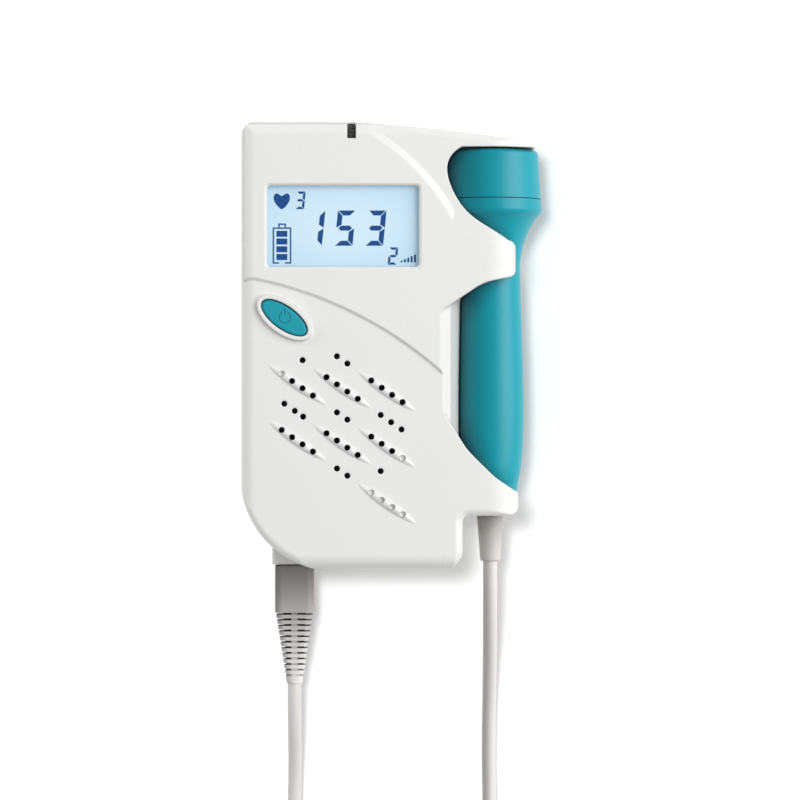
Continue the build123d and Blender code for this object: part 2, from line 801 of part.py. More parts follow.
with BuildPart() as display_frame:
    with BuildSketch(Plane.XY.offset(board_top)):
        with Locations((display_x, display_y)):
            Rectangle(panel_width + 2.4, panel_height + 2.4)
            Rectangle(panel_width - 3, panel_height - 3, mode=Mode.SUBTRACT)
    extrude(amount=cavity_top - 0.2 - board_top)
    with Locations((display_x, display_y, panel_bottom - fit)):
        Box(
            panel_width + 2 * fit,
            panel_height + 2 * fit,
            5,
            align=(Align.CENTER, Align.CENTER, Align.MIN),
            mode=Mode.SUBTRACT,
        )

with BuildPart() as display_light:
    with BuildSketch(Plane.XY.offset(board_top + 0.2)):
        with Locations((display_x, display_y + 1.2)):
            Rectangle(panel_width - 3.4, panel_height - 5.8)
    extrude(amount=panel_bottom - fit - board_top - 0.3)

with BuildPart() as contact_strip:
    with BuildSketch(Plane.XY.offset(board_top)):
        with Locations((display_x, display_y - panel_height / 2 + 2.5)):
            Rectangle(panel_width - 5, 1.4)
    extrude(amount=panel_bottom - board_top)

# ---------------------------------------------------------------- loudspeaker under the grille
seat_z = cavity_top - 0.6
flange_top = seat_z - 0.6


def turned(points, x, y):
    """A solid turned round a vertical axis from half of its section."""
    with BuildPart() as piece:
        with BuildSketch(Plane(origin=(x, y, 0), x_dir=(1, 0, 0), z_dir=(0, -1, 0))):
            with BuildLine():
                Polyline(*points, close=True)
            make_face()
        revolve(axis=Axis((x, y, 0), (0, 0, 1)))
    return piece


speaker_gasket = turned(
    [
        (speaker_radius - 1.4, flange_top + 0.05),
        (speaker_radius - 0.1, flange_top + 0.05),
        (speaker_radius - 0.1, seat_z - 0.05),
        (speaker_radius - 1.4, seat_z - 0.05),
    ],
    speaker_x,
    speaker_y,
)
speaker_frame = turned(
    [
        (speaker_radius - 1.6, flange_top),
        (speaker_radius - 0.1, flange_top),
        (speaker_radius - 0.1, flange_top - 0.8),
        (speaker_radius - 2, flange_top - 0.8),
        (speaker_radius - 7.5, flange_top - 4.2),
        (4.2, flange_top - 4.2),
        (4.2, flange_top - 3.4),
        (speaker_radius - 8, flange_top - 3.4),
        (speaker_radius - 2.4, flange_top - 0.4),
    ],
    speaker_x,
    speaker_y,
)
speaker_cone = turned(
    [
        (speaker_radius - 2.8, flange_top - 0.1),
        (speaker_radius - 3.2, flange_top - 0.5),
        (4.4, flange_top - 2.4),
        (0, flange_top - 1.8),
        (0, flange_top - 1.4),
        (4.4, flange_top - 2.0),
    ],
    speaker_x,
    speaker_y,
)
speaker_magnet = turned(
    [
        (0, board_top + 0.4),
        (9, board_top + 0.4),
        (9, flange_top - 4.2),
        (4.1, flange_top - 4.2),
        (4.1, flange_top - 3.2),
        (0, flange_top - 3.2),
    ],
    speaker_x,
    speaker_y,
)

# ---------------------------------------------------------------- power button and its switch
flange_thickness = 1.0
flange_grow = 1.0
switch_height = 3.5
plunger = 0.5
button_flange_top = cavity_top - fit
button_top = face_z + 0.2
stem_end = board_top + switch_height + plunger + button_travel + 0.15

with BuildPart() as power_button:
    with BuildSketch(Plane.XY.offset(button_flange_top - flange_thickness)):
        with Locations(Location((button_x, button_y), button_angle)):
            Ellipse(button_length / 2 + flange_grow, button_width / 2 + flange_grow)
    extrude(amount=flange_thickness)
    with BuildSketch(Plane.XY.offset(button_flange_top)):
        with Locations(Location((button_x, button_y), button_angle)):
            Ellipse(button_length / 2, button_width / 2)
    extrude(amount=button_top - button_flange_top)
    fillet(power_button.edges().group_by(Axis.Z)[-1], 0.7)
    with BuildSketch(Plane.XY.offset(button_flange_top)):
        with Locations((button_x, button_y)):
            Circle(2)
    extrude(amount=stem_end - button_flange_top)
    # The power symbol, sunk into the button's top.
    with BuildSketch(Plane.XY.offset(button_top)):
        with Locations((button_x, button_y)):
            Circle(1.9)
            Circle(1.45, mode=Mode.SUBTRACT)
        with Locations((button_x, button_y + 1.7)):
            Rectangle(1.3, 1.4, mode=Mode.SUBTRACT)
            Rectangle(0.45, 1.8)
    extrude(amount=-0.25, mode=Mode.SUBTRACT)

with BuildPart() as button_switch:
    with Locations((button_x, button_y, board_top)):
        Box(6, 6, switch_height, align=(Align.CENTER, Align.CENTER, Align.MIN))
        Cylinder(1.7, switch_height + plunger, align=(Align.CENTER, Align.CENTER, Align.MIN))

# ---------------------------------------------------------------- volume wheel and headphone jack
wheel_plane = Plane(origin=(wheel_x - wheel_width / 2, wheel_y, wheel_z), x_dir=(0, 1, 0), z_dir=(1, 0, 0))
shaft_radius = 1.5

with BuildPart() as volume_wheel:
    with BuildSketch(wheel_plane):
        Circle(wheel_radius)
        with PolarLocations(wheel_radius, 30):
            Circle(0.35, mode=Mode.SUBTRACT)
    extrude(amount=wheel_width)
    with BuildSketch(wheel_plane):
        Circle(shaft_radius)
    extrude(amount=wheel_width + run + pot_length - 1)

with BuildPart() as volume_pot:
    with Locations((pot_start, wheel_y, board_top)):
        Box(pot_length, 7, 5.6, align=(Align.MIN, Align.CENTER, Align.MIN))
    with Locations(Location((pot_start, wheel_y, wheel_z), (0, 90, 0))):
        Cylinder(shaft_radius + 0.08, 2 * pot_length - 1.6, mode=Mode.SUBTRACT)

jack_mouth = top - 1.5
jack_depth = 12.0
with BuildPart() as headphone_jack:
    with Locations((jack_x, top - 4, jack_z)):
        Box(6, 11.5, 2 * jack_radius, align=(Align.CENTER, Align.MAX, Align.CENTER))
    with BuildSketch(Plane.XZ.offset(-jack_mouth)):
        with Locations((jack_x, jack_z)):
            Circle(jack_radius)
    extrude(amount=4)
    with BuildSketch(Plane.XZ.offset(-jack_mouth)):
        with Locations((jack_x, jack_z)):
            Circle(jack_bore)
    extrude(amount=jack_depth, mode=Mode.SUBTRACT)

# ---------------------------------------------------------------- probe socket
contacts = 6
contact_pitch = 1.27
contact_width = 0.36
contact_places = [plug_x + (n - (contacts - 1) / 2) * contact_pitch for n in range(contacts)]
nose_room = 0.4
latch_width = 5.6
latch_thickness = 0.9
latch_room = 2.2

with BuildPart() as probe_socket:
    with BuildSketch(Plane.XZ.offset(-socket_mouth)):
        with Locations((plug_x, socket_z)):
            Rectangle(socket_width, socket_height)
    extrude(amount=-socket_length)
    with BuildSketch(Plane.XZ.offset(-socket_mouth)):
        with Locations((plug_x, plug_z)):
            Rectangle(nose_width + nose_room, nose_height + nose_room)
        with Locations((plug_x, plug_z - nose_height / 2)):
            Rectangle(latch_width + nose_room, 2 * latch_room)
    extrude(amount=-(socket_length - 0.8), mode=Mode.SUBTRACT)
    with Locations(*[(x, socket_mouth + 3, plug_z + nose_height / 2) for x in contact_places]):
        Box(contact_width + 0.1, 9, 1.4, align=(Align.CENTER, Align.MIN, Align.CENTER), mode=Mode.SUBTRACT)

with BuildPart() as socket_contacts:
    with Locations(*[(x, socket_mouth + 3.05, plug_z + nose_height / 2 + 0.3) for x in contact_places]):
        Box(contact_width, 8.9, 0.35, align=(Align.CENTER, Align.MIN, Align.MIN))

# ---------------------------------------------------------------- plug with its boot
nose_end = boot_top + nose_length

with BuildPart() as plug_nose:
    with BuildSketch(Plane.XZ.offset(-boot_top)):
        with Locations((plug_x, plug_z)):
            Rectangle(nose_width, nose_height)
    extrude(amount=-nose_length)
    chamfer(plug_nose.edges().group_by(Axis.Y)[-1], 0.5)
    # The latch's tongue lies under the nose and is rooted at its tip.
    with Locations((plug_x, nose_end - 1, plug_z - nose_height / 2)):
        Box(latch_width, 1.6, latch_thickness + 0.6, align=(Align.CENTER, Align.MAX, Align.MAX))
    with Locations((plug_x, nose_end - 1, plug_z - nose_height / 2 - 0.6)):
        Box(latch_width, nose_length - 1.3, latch_thickness, align=(Align.CENTER, Align.MAX, Align.MAX))
    with Locations(*[(x, nose_end - 1.5, plug_z + nose_height / 2) for x in contact_places]):
        Box(contact_width + 0.1, 5, 2.4, align=(Align.CENTER, Align.MAX, Align.CENTER), mode=Mode.SUBTRACT)

with BuildPart() as plug_contacts:
    with Locations(*[(x, nose_end - 1.55, plug_z + nose_height / 2 - 0.1) for x in contact_places]):
        Box(contact_width, 4.9, 1.1, align=(Align.CENTER, Align.MAX, Align.MAX))

boot_shoulder = boot_top - boot_block
boot_tail = boot_top - boot_length


def boot_section(y, section_width, section_height, corner):
    """The boot's section at a place along Y."""
    with BuildSketch(Plane.XZ.offset(-y)) as section:
        with Locations((plug_x, plug_z)):
            RectangleRounded(section_width, section_height, corner)
    return section.sketch


with BuildPart() as boot_core:
    with BuildSketch(Plane.XZ.offset(-(boot_shoulder + 1))):
        with Locations((plug_x, plug_z)):
            Circle(boot_height / 2 - 1.3)
    with BuildSketch(Plane.XZ.offset(-boot_tail)):
        with Locations((plug_x, plug_z)):
            Circle(boot_end / 2)
    loft()

with BuildPart() as plug_boot:
    extrude(boot_section(boot_top - 0.05, boot_width, boot_height, 2.2), amount=boot_block)
    loft(
        [
            boot_section(boot_shoulder, boot_width - 0.5, boot_height - 0.5, 2.0),
            boot_section(boot_tail, boot_end, boot_end, boot_end / 2 - 0.05),
        ]
    )
    with Locations(*[(plug_x, boot_shoulder - 0.3 - rib_pitch * row, plug_z) for row in range(rib_rows)]):
        Box(2 * boot_width, rib_gap, 2 * boot_height, mode=Mode.SUBTRACT)
    with BuildSketch(Plane.XZ.offset(-boot_shoulder)):
        with Locations((plug_x, plug_z)):
            Rectangle(spine_width, boot_height - 0.9)
    with BuildSketch(Plane.XZ.offset(-(boot_tail + 1))):
        with Locations((plug_x, plug_z)):
            Rectangle(spine_width, boot_end - 0.3)
    loft()
    add(boot_core.part)

# ---------------------------------------------------------------- probe
with BuildPart() as probe_inside:
    add(probe_section(flat, -shell, -2.0))
    revolve(axis=probe_axis)

lens_radius = face_radius - 2.4
with BuildPart() as probe_shell:
    add(probe_section(flat, 0))
    revolve(axis=probe_axis)
    add(probe_inside.part, mode=Mode.SUBTRACT)
    with BuildSketch(Plane.XZ.offset(-(probe_top + 1))):
        with Locations((probe_x, mid_z)):
            Circle(lens_radius + fit)
    extrude(amount=4, mode=Mode.SUBTRACT)
    with BuildSketch(Plane.XZ.offset(-(probe_end - 1))):
        with Locations((probe_x, mid_z)):
            Circle(relief_radius + 0.15)
    extrude(amount=-5, mode=Mode.SUBTRACT)
    # A groove runs round the seam between the cap and the handle.
    with BuildSketch(flat):
        with Locations((head_radius, seam_y)):
            Rectangle(0.7, 0.25)
    revolve(axis=probe_axis, mode=Mode.SUBTRACT)

with BuildPart() as probe_cap:
    add(probe_shell.part)
    split(bisect_by=Plane.XZ.offset(-(seam_y + 0.05)), keep=Keep.BOTTOM)
    # Its spigot reaches into the handle.
    with BuildSketch(flat):
        with Locations((head_radius - shell - 1.0, seam_y)):
            Rectangle(1.0, 6.0)
        with Locations((head_radius - shell - 1.5, seam_y + 1.5)):
            Rectangle(2.0, 1.5, align=(Align.MIN, Align.MIN))
    revolve(axis=probe_axis)

with BuildPart() as probe_handle:
    add(probe_shell.part)
    split(bisect_by=Plane.XZ.offset(-(seam_y - 0.05)), keep=Keep.TOP)

with BuildPart() as probe_face:
    with BuildSketch(Plane.XZ.offset(-(probe_top + 0.1))):
        with Locations((probe_x, mid_z)):
            Circle(lens_radius)
    extrude(amount=2.0)
    fillet(probe_face.edges().group_by(Axis.Y)[-1], 0.4)

crystal_thickness = 0.9
with BuildPart() as probe_crystals:
    with BuildSketch(Plane.XZ.offset(-(probe_top - 2.0))):
        with Locations((probe_x, mid_z)):
            Circle(9)
            Rectangle(0.8, 20, mode=Mode.SUBTRACT)
    extrude(amount=crystal_thickness)

backing_start = probe_top - 2.1 - crystal_thickness
with BuildPart() as probe_backing:
    with BuildSketch(Plane.XZ.offset(-backing_start)):
        with Locations((probe_x, mid_z)):
            Circle(face_radius - shell - 0.6)
    extrude(amount=6)

board_end = neck_y + 14
with BuildPart() as probe_board:
    with Locations((probe_x, board_end, mid_z)):
        Box(2 * (neck_radius - shell) - 0.7, 60, 1.2, align=(Align.CENTER, Align.MAX, Align.CENTER))

with BuildPart() as probe_shield:
    with Locations((probe_x, neck_y - 20, mid_z + 0.6)):
        Box(9, 15, 3.6, align=(Align.CENTER, Align.MAX, Align.MIN))
    fillet(probe_shield.edges().filter_by(Axis.Z), 0.8)

with BuildPart() as probe_wires:
    for side in (-1, 1):
        with BuildSketch(Plane.XZ.offset(-(backing_start - 6.05))):
            with Locations((probe_x + 3 * side, mid_z + 1.15)):
                Circle(0.5)
        extrude(amount=backing_start - 6.05 - board_end + 4)

with BuildPart() as probe_relief:
    with BuildSketch(flat):
        with BuildLine():
            Polyline(
                (0, probe_end + 4.4),
                (relief_radius + 0.9, probe_end + 4.4),
                (relief_radius + 0.9, probe_end + 2.6),
                (relief_radius, probe_end + 2.6),
                (relief_radius, foot_y),
                (relief_end_radius, relief_end),
                (0, relief_end),
                close=True,
            )
        make_face()
    revolve(axis=probe_axis)
    fillet(probe_relief.edges().group_by(Axis.Y)[0], 0.6)

# ---------------------------------------------------------------- the cable from the plug to the probe
# Both leads run straight down the table, and the rest lies in a round coil between them.
cord_radius = cord_diameter / 2
coil_y = -178.0
coil_turns = 6.5
coil_outer = 29.8
stub = 17.5
lower_layer = cord_radius + 0.05
upper_layer = lower_layer + cord_diameter - 0.15

plug_route = [
    (plug_x, boot_tail, plug_z),
    (plug_x, -114.0, plug_z),
    (-29.7, -129.5, 3.2),
    (-30.1, -143.5, lower_layer),
    (-coil_outer, -152.0, lower_layer),
    (-coil_outer, coil_y + stub, lower_layer),
]
probe_route = [
    (probe_x, relief_end, mid_z),
    (probe_x, -80.0, mid_z),
    (29.9, -104.0, 3.5),
    (29.6, -124.0, lower_layer),
    (29.9, -140.5, lower_layer),
    (coil_outer, -151.5, upper_layer),
    (coil_outer, coil_y + stub, upper_layer),
]


def bend_radii(route):
    """The largest arc that fits at each corner of a route."""
    radii = []
    for before, here, after in zip(route, route[1:], route[2:]):
        come = Vector(*here) - Vector(*before)
        go = Vector(*after) - Vector(*here)
        half_turn = math.radians(come.get_angle(go)) / 2
        radii.append(0.45 * min(come.length, go.length) / math.tan(half_turn))
    return radii


def lead(route):
    """A tube along a route, with an arc at each corner."""
    radii = bend_radii(route)
    print("bend radii", [round(radius, 1) for radius in radii])
    with BuildPart() as tube:
        with BuildLine() as path:
            FilletPolyline(*route, radius=radii)
        with BuildSketch(Plane(origin=path.line @ 0, z_dir=path.line % 0)):
            Circle(cord_radius)
        sweep()
    section = math.pi * cord_radius**2
    print("lead", round(path.wire().length, 1), "volume over section", round(tube.part.volume / section, 1))
    return tube


cord_plug_lead = lead(plug_route)
cord_probe_lead = lead(probe_route)

coil_inner = coil_outer - cord_diameter * coil_turns / 2
with BuildPart() as cord_coil:
    with BuildSketch(Plane(origin=(0, coil_y, 0), x_dir=(1, 0, 0), z_dir=(0, -1, 0))):
        with Locations(((coil_outer + coil_inner) / 2, cord_diameter)):
            RectangleRounded(coil_outer - coil_inner + cord_diameter + 0.2, 2 * cord_diameter, 1.6)
    revolve(axis=Axis((0, coil_y, 0), (0, 0, 1)))
    with BuildSketch(Plane.XZ.offset(-(coil_y + stub))):
        with Locations((-coil_outer, lower_layer), (coil_outer, upper_layer)):
            Circle(cord_radius)
    extrude(amount=stub)
coil_length = math.pi * (coil_outer + coil_inner) * coil_turns
print("coil", round(coil_length, 1))

pieces = {
    "front_cover": front_box,
    "front_bay": front_bay,
    "rear_cover": rear_box,
    "rear_bay": rear_bay,
    "battery_door": battery_door,
    "case_screws": case_screws,
    "battery_1": battery_1,
    "battery_2": battery_2,
    "battery_springs": battery_springs,
    "battery_contacts": battery_contacts,
    "main_board": main_board,
    "board_screws": board_screws,
    "board_components": board_components,
    "display_lens": display_lens,
    "display_panel": display_panel,
    "display_frame": display_frame,
    "display_light": display_light,
    "contact_strip": contact_strip,
    "speaker_gasket": speaker_gasket,
    "speaker_frame": speaker_frame,
    "speaker_cone": speaker_cone,
    "speaker_magnet": speaker_magnet,
    "power_button": power_button,
    "button_switch": button_switch,
    "volume_wheel": volume_wheel,
    "volume_pot": volume_pot,
    "headphone_jack": headphone_jack,
    "probe_socket": probe_socket,
    "socket_contacts": socket_contacts,
    "plug_nose": plug_nose,
    "plug_contacts": plug_contacts,
    "plug_boot": plug_boot,
    "probe_cap": probe_cap,
    "probe_handle": probe_handle,
    "probe_face": probe_face,
    "probe_crystals": probe_crystals,
    "probe_backing": probe_backing,
    "probe_board": probe_board,
    "probe_shield": probe_shield,
    "probe_wires": probe_wires,
    "probe_relief": probe_relief,
    "cord_plug_lead": cord_plug_lead,
    "cord_coil": cord_coil,
    "cord_probe_lead": cord_probe_lead,
}
for node, piece in pieces.items():
    piece.part.label = node
    export_step(piece.part, f"parts/{node}.step")
    box = piece.part.bounding_box()
    print(node, piece.part.is_valid, len(piece.part.solids()), round(piece.part.volume, 1), box)
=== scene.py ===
# %% [markdown]
# # A pocket fetal doppler
# The real thing is a hand unit with a display, a loudspeaker and a probe that parks in a bay along its
# right side. A CAD model gives every solid its exact place, and it loads here as a frame that is never
# moved. What Blender adds is what CAD leaves out: the picture on the display, the wound springs, the free
# cable, and a finish for every surface. Each piece sits at the origin and keeps its place in its mesh, so a
# pattern that reads Object coordinates is measured in real metres.

# %% Load the frame and measure it
import json
import math

import bmesh
import bpy
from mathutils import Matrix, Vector
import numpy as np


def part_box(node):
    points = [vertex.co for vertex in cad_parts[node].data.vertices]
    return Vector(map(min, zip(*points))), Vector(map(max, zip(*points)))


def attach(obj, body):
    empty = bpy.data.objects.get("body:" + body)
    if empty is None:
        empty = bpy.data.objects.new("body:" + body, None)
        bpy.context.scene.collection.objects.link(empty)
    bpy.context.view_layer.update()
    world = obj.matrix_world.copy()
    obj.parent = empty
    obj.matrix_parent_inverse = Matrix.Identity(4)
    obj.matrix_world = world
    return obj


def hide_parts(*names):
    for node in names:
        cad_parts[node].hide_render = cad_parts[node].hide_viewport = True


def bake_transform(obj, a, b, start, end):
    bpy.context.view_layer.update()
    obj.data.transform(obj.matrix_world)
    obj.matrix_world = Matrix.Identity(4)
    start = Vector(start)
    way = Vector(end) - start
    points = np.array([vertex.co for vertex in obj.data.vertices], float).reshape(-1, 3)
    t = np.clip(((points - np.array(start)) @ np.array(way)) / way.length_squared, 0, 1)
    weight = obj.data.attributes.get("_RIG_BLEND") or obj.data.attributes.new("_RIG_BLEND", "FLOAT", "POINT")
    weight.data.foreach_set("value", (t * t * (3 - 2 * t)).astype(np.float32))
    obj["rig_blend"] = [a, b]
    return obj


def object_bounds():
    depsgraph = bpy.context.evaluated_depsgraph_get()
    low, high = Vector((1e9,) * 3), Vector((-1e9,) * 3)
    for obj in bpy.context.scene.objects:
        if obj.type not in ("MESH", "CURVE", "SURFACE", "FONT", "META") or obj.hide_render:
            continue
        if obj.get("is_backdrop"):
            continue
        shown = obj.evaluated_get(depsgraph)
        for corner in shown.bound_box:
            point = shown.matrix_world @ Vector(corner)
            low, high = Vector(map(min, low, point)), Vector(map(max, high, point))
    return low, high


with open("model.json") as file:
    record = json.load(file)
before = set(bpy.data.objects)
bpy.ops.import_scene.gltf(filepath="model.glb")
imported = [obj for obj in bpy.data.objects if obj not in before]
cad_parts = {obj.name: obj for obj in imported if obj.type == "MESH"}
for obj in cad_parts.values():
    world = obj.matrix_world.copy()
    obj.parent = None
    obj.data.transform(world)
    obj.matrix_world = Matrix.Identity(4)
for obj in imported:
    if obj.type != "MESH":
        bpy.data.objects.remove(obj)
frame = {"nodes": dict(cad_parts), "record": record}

cad_box = [list(corner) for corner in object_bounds()]

MM = 0.001


def in_mm(lengths):
    """Lengths in millimetres, rounded for a print."""
    return [round(length / MM, 2) for length in lengths]


print("box in mm", [in_mm(corner) for corner in cad_box])

# %% [markdown]
# ## Small helpers
# Colours are written as the sRGB hex values that a designer reads off a swatch. Cycles works in linear
# light, so one function turns them. A shader is a graph of nodes, and one more function adds any node with
# its settings and its links. With those two, a finish can be written down as briefly as a recipe.

# %% Colours, nodes and objects


def linear(swatch, alpha=1.0):
    """An sRGB hex colour as the linear colour that a shader takes."""
    parts = [int(swatch[i : i + 2], 16) / 255 for i in (1, 3, 5)]
    return [p / 12.92 if p <= 0.04045 else ((p + 0.055) / 1.055) ** 2.4 for p in parts] + [alpha]


def add_node(tree, kind, settings=None, links=None):
    """Adds a node. Settings are its sockets' values or its own properties, and links feed its sockets."""
    node = tree.nodes.new(kind)
    for name, value in (settings or {}).items():
        if isinstance(name, int) or name in node.inputs:
            node.inputs[name].default_value = value
        else:
            setattr(node, name, value)
    for name, source in (links or {}).items():
        tree.links.new(source, node.inputs[name])
    return node


def start_material(name, swatch, roughness, **sockets):
    """A material with one Principled shader, and the Object coordinates that its patterns read."""
    material = bpy.data.materials.new(name)
    material.use_nodes = True
    tree = material.node_tree
    tree.nodes.clear()
    settings = {"Base Color": linear(swatch), "Roughness": roughness, **sockets}
    shader = add_node(tree, "ShaderNodeBsdfPrincipled", settings)
    add_node(tree, "ShaderNodeOutputMaterial", links={"Surface": shader.outputs["BSDF"]})
    place = add_node(tree, "ShaderNodeTexCoord").outputs["Object"]
    return material, tree, shader, place


def add_object(name, data):
    """An object in the scene that shows this mesh, curve, lamp or camera."""
    thing = bpy.data.objects.new(name, data)
    bpy.context.scene.collection.objects.link(thing)
    return thing


print("mid grey in linear light", [round(part, 3) for part in linear("#808080")])

# %% [markdown]
# ## The camera
# A product picture of a flat hand unit is taken from straight above with a long lens, so that the sides
# don't show and nothing is foreshortened. The lens stands 1.2 m above the front face, and its length follows
# from the 240 mm of table that the picture is wide at that height.

# %% Look straight down with a long lens
front_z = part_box("front_cover")[1].z
view_distance = 1.2
view_width = 0.2400
view_middle = (0.0024, -0.0165)

camera = add_object("camera", bpy.data.cameras.new("camera"))
camera.data.sensor_width = 36.0
camera.data.lens = camera.data.sensor_width * view_distance / view_width
camera.location = (*view_middle, front_z + view_distance)
bpy.context.scene.camera = camera
print("lens", round(camera.data.lens, 1), "mm, front face in mm", in_mm([front_z]))

# %% [markdown]
# ## The table and the light
# The unit lies on a white sheet of paper. A white floor in soft light is never quite white to the camera, so
# the floor adds a little light of its own, and more of it further out, where the lamps no longer reach. Only
# the camera and mirror-like or clear surfaces see it. The object's shadow stays, because it is the paper's
# own shading underneath. A studio lights the table and the object apart, and light groups do the same here:
# the table's lamp stands high, a little to the upper left, so that the shadow is short and falls to the right
# and below. The object's lamp is large and comes from the right, which draws the round forms. The world gives
# the rest.

# %% Paper floor
floor_size = 6.0
floor_drop = 0.02 * MM
glow_starts = 0.25
glow_full = 1.2
# Paper fibre is finer than this. It is drawn 1.5 mm wide, so that it shows at all.
fibre_size = 1.5 * MM
fibre_depth = 0.05 * MM


def seen_directly(tree):
    """One where a camera, mirror or clear surface sees this, and zero where it only lights others."""
    path = add_node(tree, "ShaderNodeLightPath")
    mirror = add_node(
        tree,
        "ShaderNodeMath",
        {"operation": "MAXIMUM"},
        {0: path.outputs["Is Glossy Ray"], 1: path.outputs["Is Transmission Ray"]},
    )
    return add_node(
        tree,
        "ShaderNodeMath",
        {"operation": "MAXIMUM"},
        {0: path.outputs["Is Camera Ray"], 1: mirror.outputs[0]},
    ).outputs[0]


paper, tree, shader, place = start_material("white_paper", "#F4F4F4", 0.9)
fibre = add_node(tree, "ShaderNodeTexNoise", {"Scale": 1 / fibre_size, "Detail": 4.0}, {"Vector": place})
bump = add_node(
    tree, "ShaderNodeBump", {"Strength": 0.1, "Distance": fibre_depth}, {"Height": fibre.outputs["Fac"]}
)
tree.links.new(bump.outputs["Normal"], shader.inputs["Normal"])
away = add_node(tree, "ShaderNodeVectorMath", {"operation": "LENGTH"}, {0: place}).outputs["Value"]
glow = add_node(
    tree,
    "ShaderNodeMapRange",
    {"From Min": glow_starts, "From Max": glow_full, "To Min": 0.26, "To Max": 1.0},
    {"Value": away},
)
lift = add_node(
    tree,
    "ShaderNodeMath",
    {"operation": "MULTIPLY"},
    {0: seen_directly(tree), 1: glow.outputs["Result"]},
)
shader.inputs["Emission Color"].default_value = linear("#FFFFFF")
tree.links.new(lift.outputs[0], shader.inputs["Emission Strength"])

floor_mesh = bpy.data.meshes.new("floor")
half = floor_size / 2
floor_mesh.from_pydata(
    [(-half, -half, 0), (half, -half, 0), (half, half, 0), (-half, half, 0)], [], [(0, 1, 2, 3)]
)
floor = add_object("floor", floor_mesh)
floor.data.materials.append(paper)
floor.location.z = cad_box[0][2] - floor_drop
floor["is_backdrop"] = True
print("floor in mm", in_mm([floor.location.z]))

# %% Lamps and world


def soft_lamp(name, place, size, watts):
    """A square soft box that points at the unit."""
    lamp = add_object(name, bpy.data.lights.new(name, "AREA"))
    lamp.data.size = size
    lamp.data.energy = watts
    lamp.location = place
    lamp.rotation_mode = "QUATERNION"
    lamp.rotation_quaternion = Vector(place).to_track_quat("Z", "Y")
    return lamp


def add_members(group, link_state, *members):
    """Adds objects to a light group, as the ones it lights or as the ones it leaves out."""
    for member in members:
        group.objects.link(member)
    for entry in group.collection_objects:
        entry.light_linking.link_state = link_state


def light_group(name, link_state, *members):
    """A light group that either holds these objects alone or holds all but these."""
    group = bpy.data.collections.new(name)
    add_members(group, link_state, *members)
    return group


table_lamp = soft_lamp("table_lamp", (-0.21, 0.18, 1.40), size=0.30, watts=11.0)
table_lamp.light_linking.receiver_collection = light_group("floor_only", "INCLUDE", floor)
object_lamp = soft_lamp("object_lamp", (1.00, 0.30, 1.10), size=1.50, watts=24.3)
left_out = light_group("left_out_of_object_lamp", "EXCLUDE", floor)
object_lamp.light_linking.receiver_collection = left_out

world = bpy.data.worlds.new("studio")
world.use_nodes = True
bpy.context.scene.world = world
tree = world.node_tree
tree.nodes.clear()
to_camera = add_node(tree, "ShaderNodeLightPath").outputs["Is Camera Ray"]
brightness = add_node(tree, "ShaderNodeMapRange", {"To Min": 0.37, "To Max": 1.0}, {"Value": to_camera})
background = add_node(
    tree,
    "ShaderNodeBackground",
    {"Color": linear("#FFFFFF")},
    {"Strength": brightness.outputs["Result"]},
)
add_node(tree, "ShaderNodeOutputWorld", links={"Surface": background.outputs["Background"]})
bpy.context.scene.view_settings.view_transform = "Standard"

# %% [markdown]
# ## The cable
# The probe's cable is a soft, round, 4.3 mm PVC lead. One end comes out of the probe's strain relief and the
# other ends in the plug. Both leads run straight down the table, and the spare metre lies between them in a
# neat round coil of two layers: inwards on the upper layer, then outwards on the lower one. The lead to the
# probe has to follow when the probe is lifted out, so the cable is made as two pieces that meet where the
# coil starts. The leads are given as lists of points, and the coil is worked out turn by turn.

# %% The cable's route
cord_radius = 2.15 * MM
coil_middle = Vector((0.0, -178.0, 0.0)) * MM
coil_outer = 29.8 * MM
coil_turns = 6.5
layer_change_turns = 0.35
lower_layer = 2.2 * MM
upper_layer = 6.35 * MM
points_per_turn = 20

probe_route = [
    Vector(point) * MM
    for point in (
        (29.8, -65.4, 16.0),
        (29.8, -80.0, 16.0),
        (29.9, -104.0, 3.5),
        (29.6, -124.0, 2.2),
        (29.9, -140.5, 2.2),
        (29.8, -151.5, 6.35),
        (29.8, -160.5, 6.35),
    )
]
plug_route = [
    Vector(point) * MM
    for point in (
        (-29.8, -160.5, 2.2),
        (-29.8, -152.0, 2.2),
        (-30.1, -143.5, 2.2),
        (-29.7, -129.5, 3.2),
        (-29.8, -114.0, 9.6),
        (-29.8, -102.9, 9.6),
    )
]

coil_points = []
for step in range(round(coil_turns * points_per_turn) + 1):
    turn = step / points_per_turn
    # The spline cuts inside its points, so they lie a little further out than the cable's own line.
    inwards = min(turn, coil_turns - turn)
    radius = (coil_outer - 2 * cord_radius * inwards) / math.cos(math.pi / points_per_turn)
    # The layer changes at the coil's inside, half way along.
    sunk = min(max((turn - coil_turns / 2) / layer_change_turns + 0.5, 0.0), 1.0)
    height = upper_layer + (lower_layer - upper_layer) * sunk
    angle = -2 * math.pi * turn
    coil_points.append(
        coil_middle + Vector((radius * math.cos(angle), radius * math.sin(angle), height))
    )
print("coil points", len(coil_points))

# %% [markdown]
# ### A spline as the cable's line
# A NURBS spline is the right line for a cable, because it bends evenly between few points. Its bevel makes
# the round jacket and its fill caps close the ends. The tube is turned into a mesh at once, because that is
# what the frame carries. The bare spline is read first, since the cable's length is measured along it.

# %% Lay a spline and read it back


def lay_spline(name, points):
    """A curve of one open NURBS spline with these control points."""
    curve = bpy.data.curves.new(name, "CURVE")
    curve.dimensions = "3D"
    curve.resolution_u = 8
    spline = curve.splines.new("NURBS")
    spline.points.add(len(points) - 1)
    for control, point in zip(spline.points, points):
        control.co = (*point, 1.0)
    spline.order_u = 3
    spline.use_endpoint_u = True
    return add_object(name, curve)


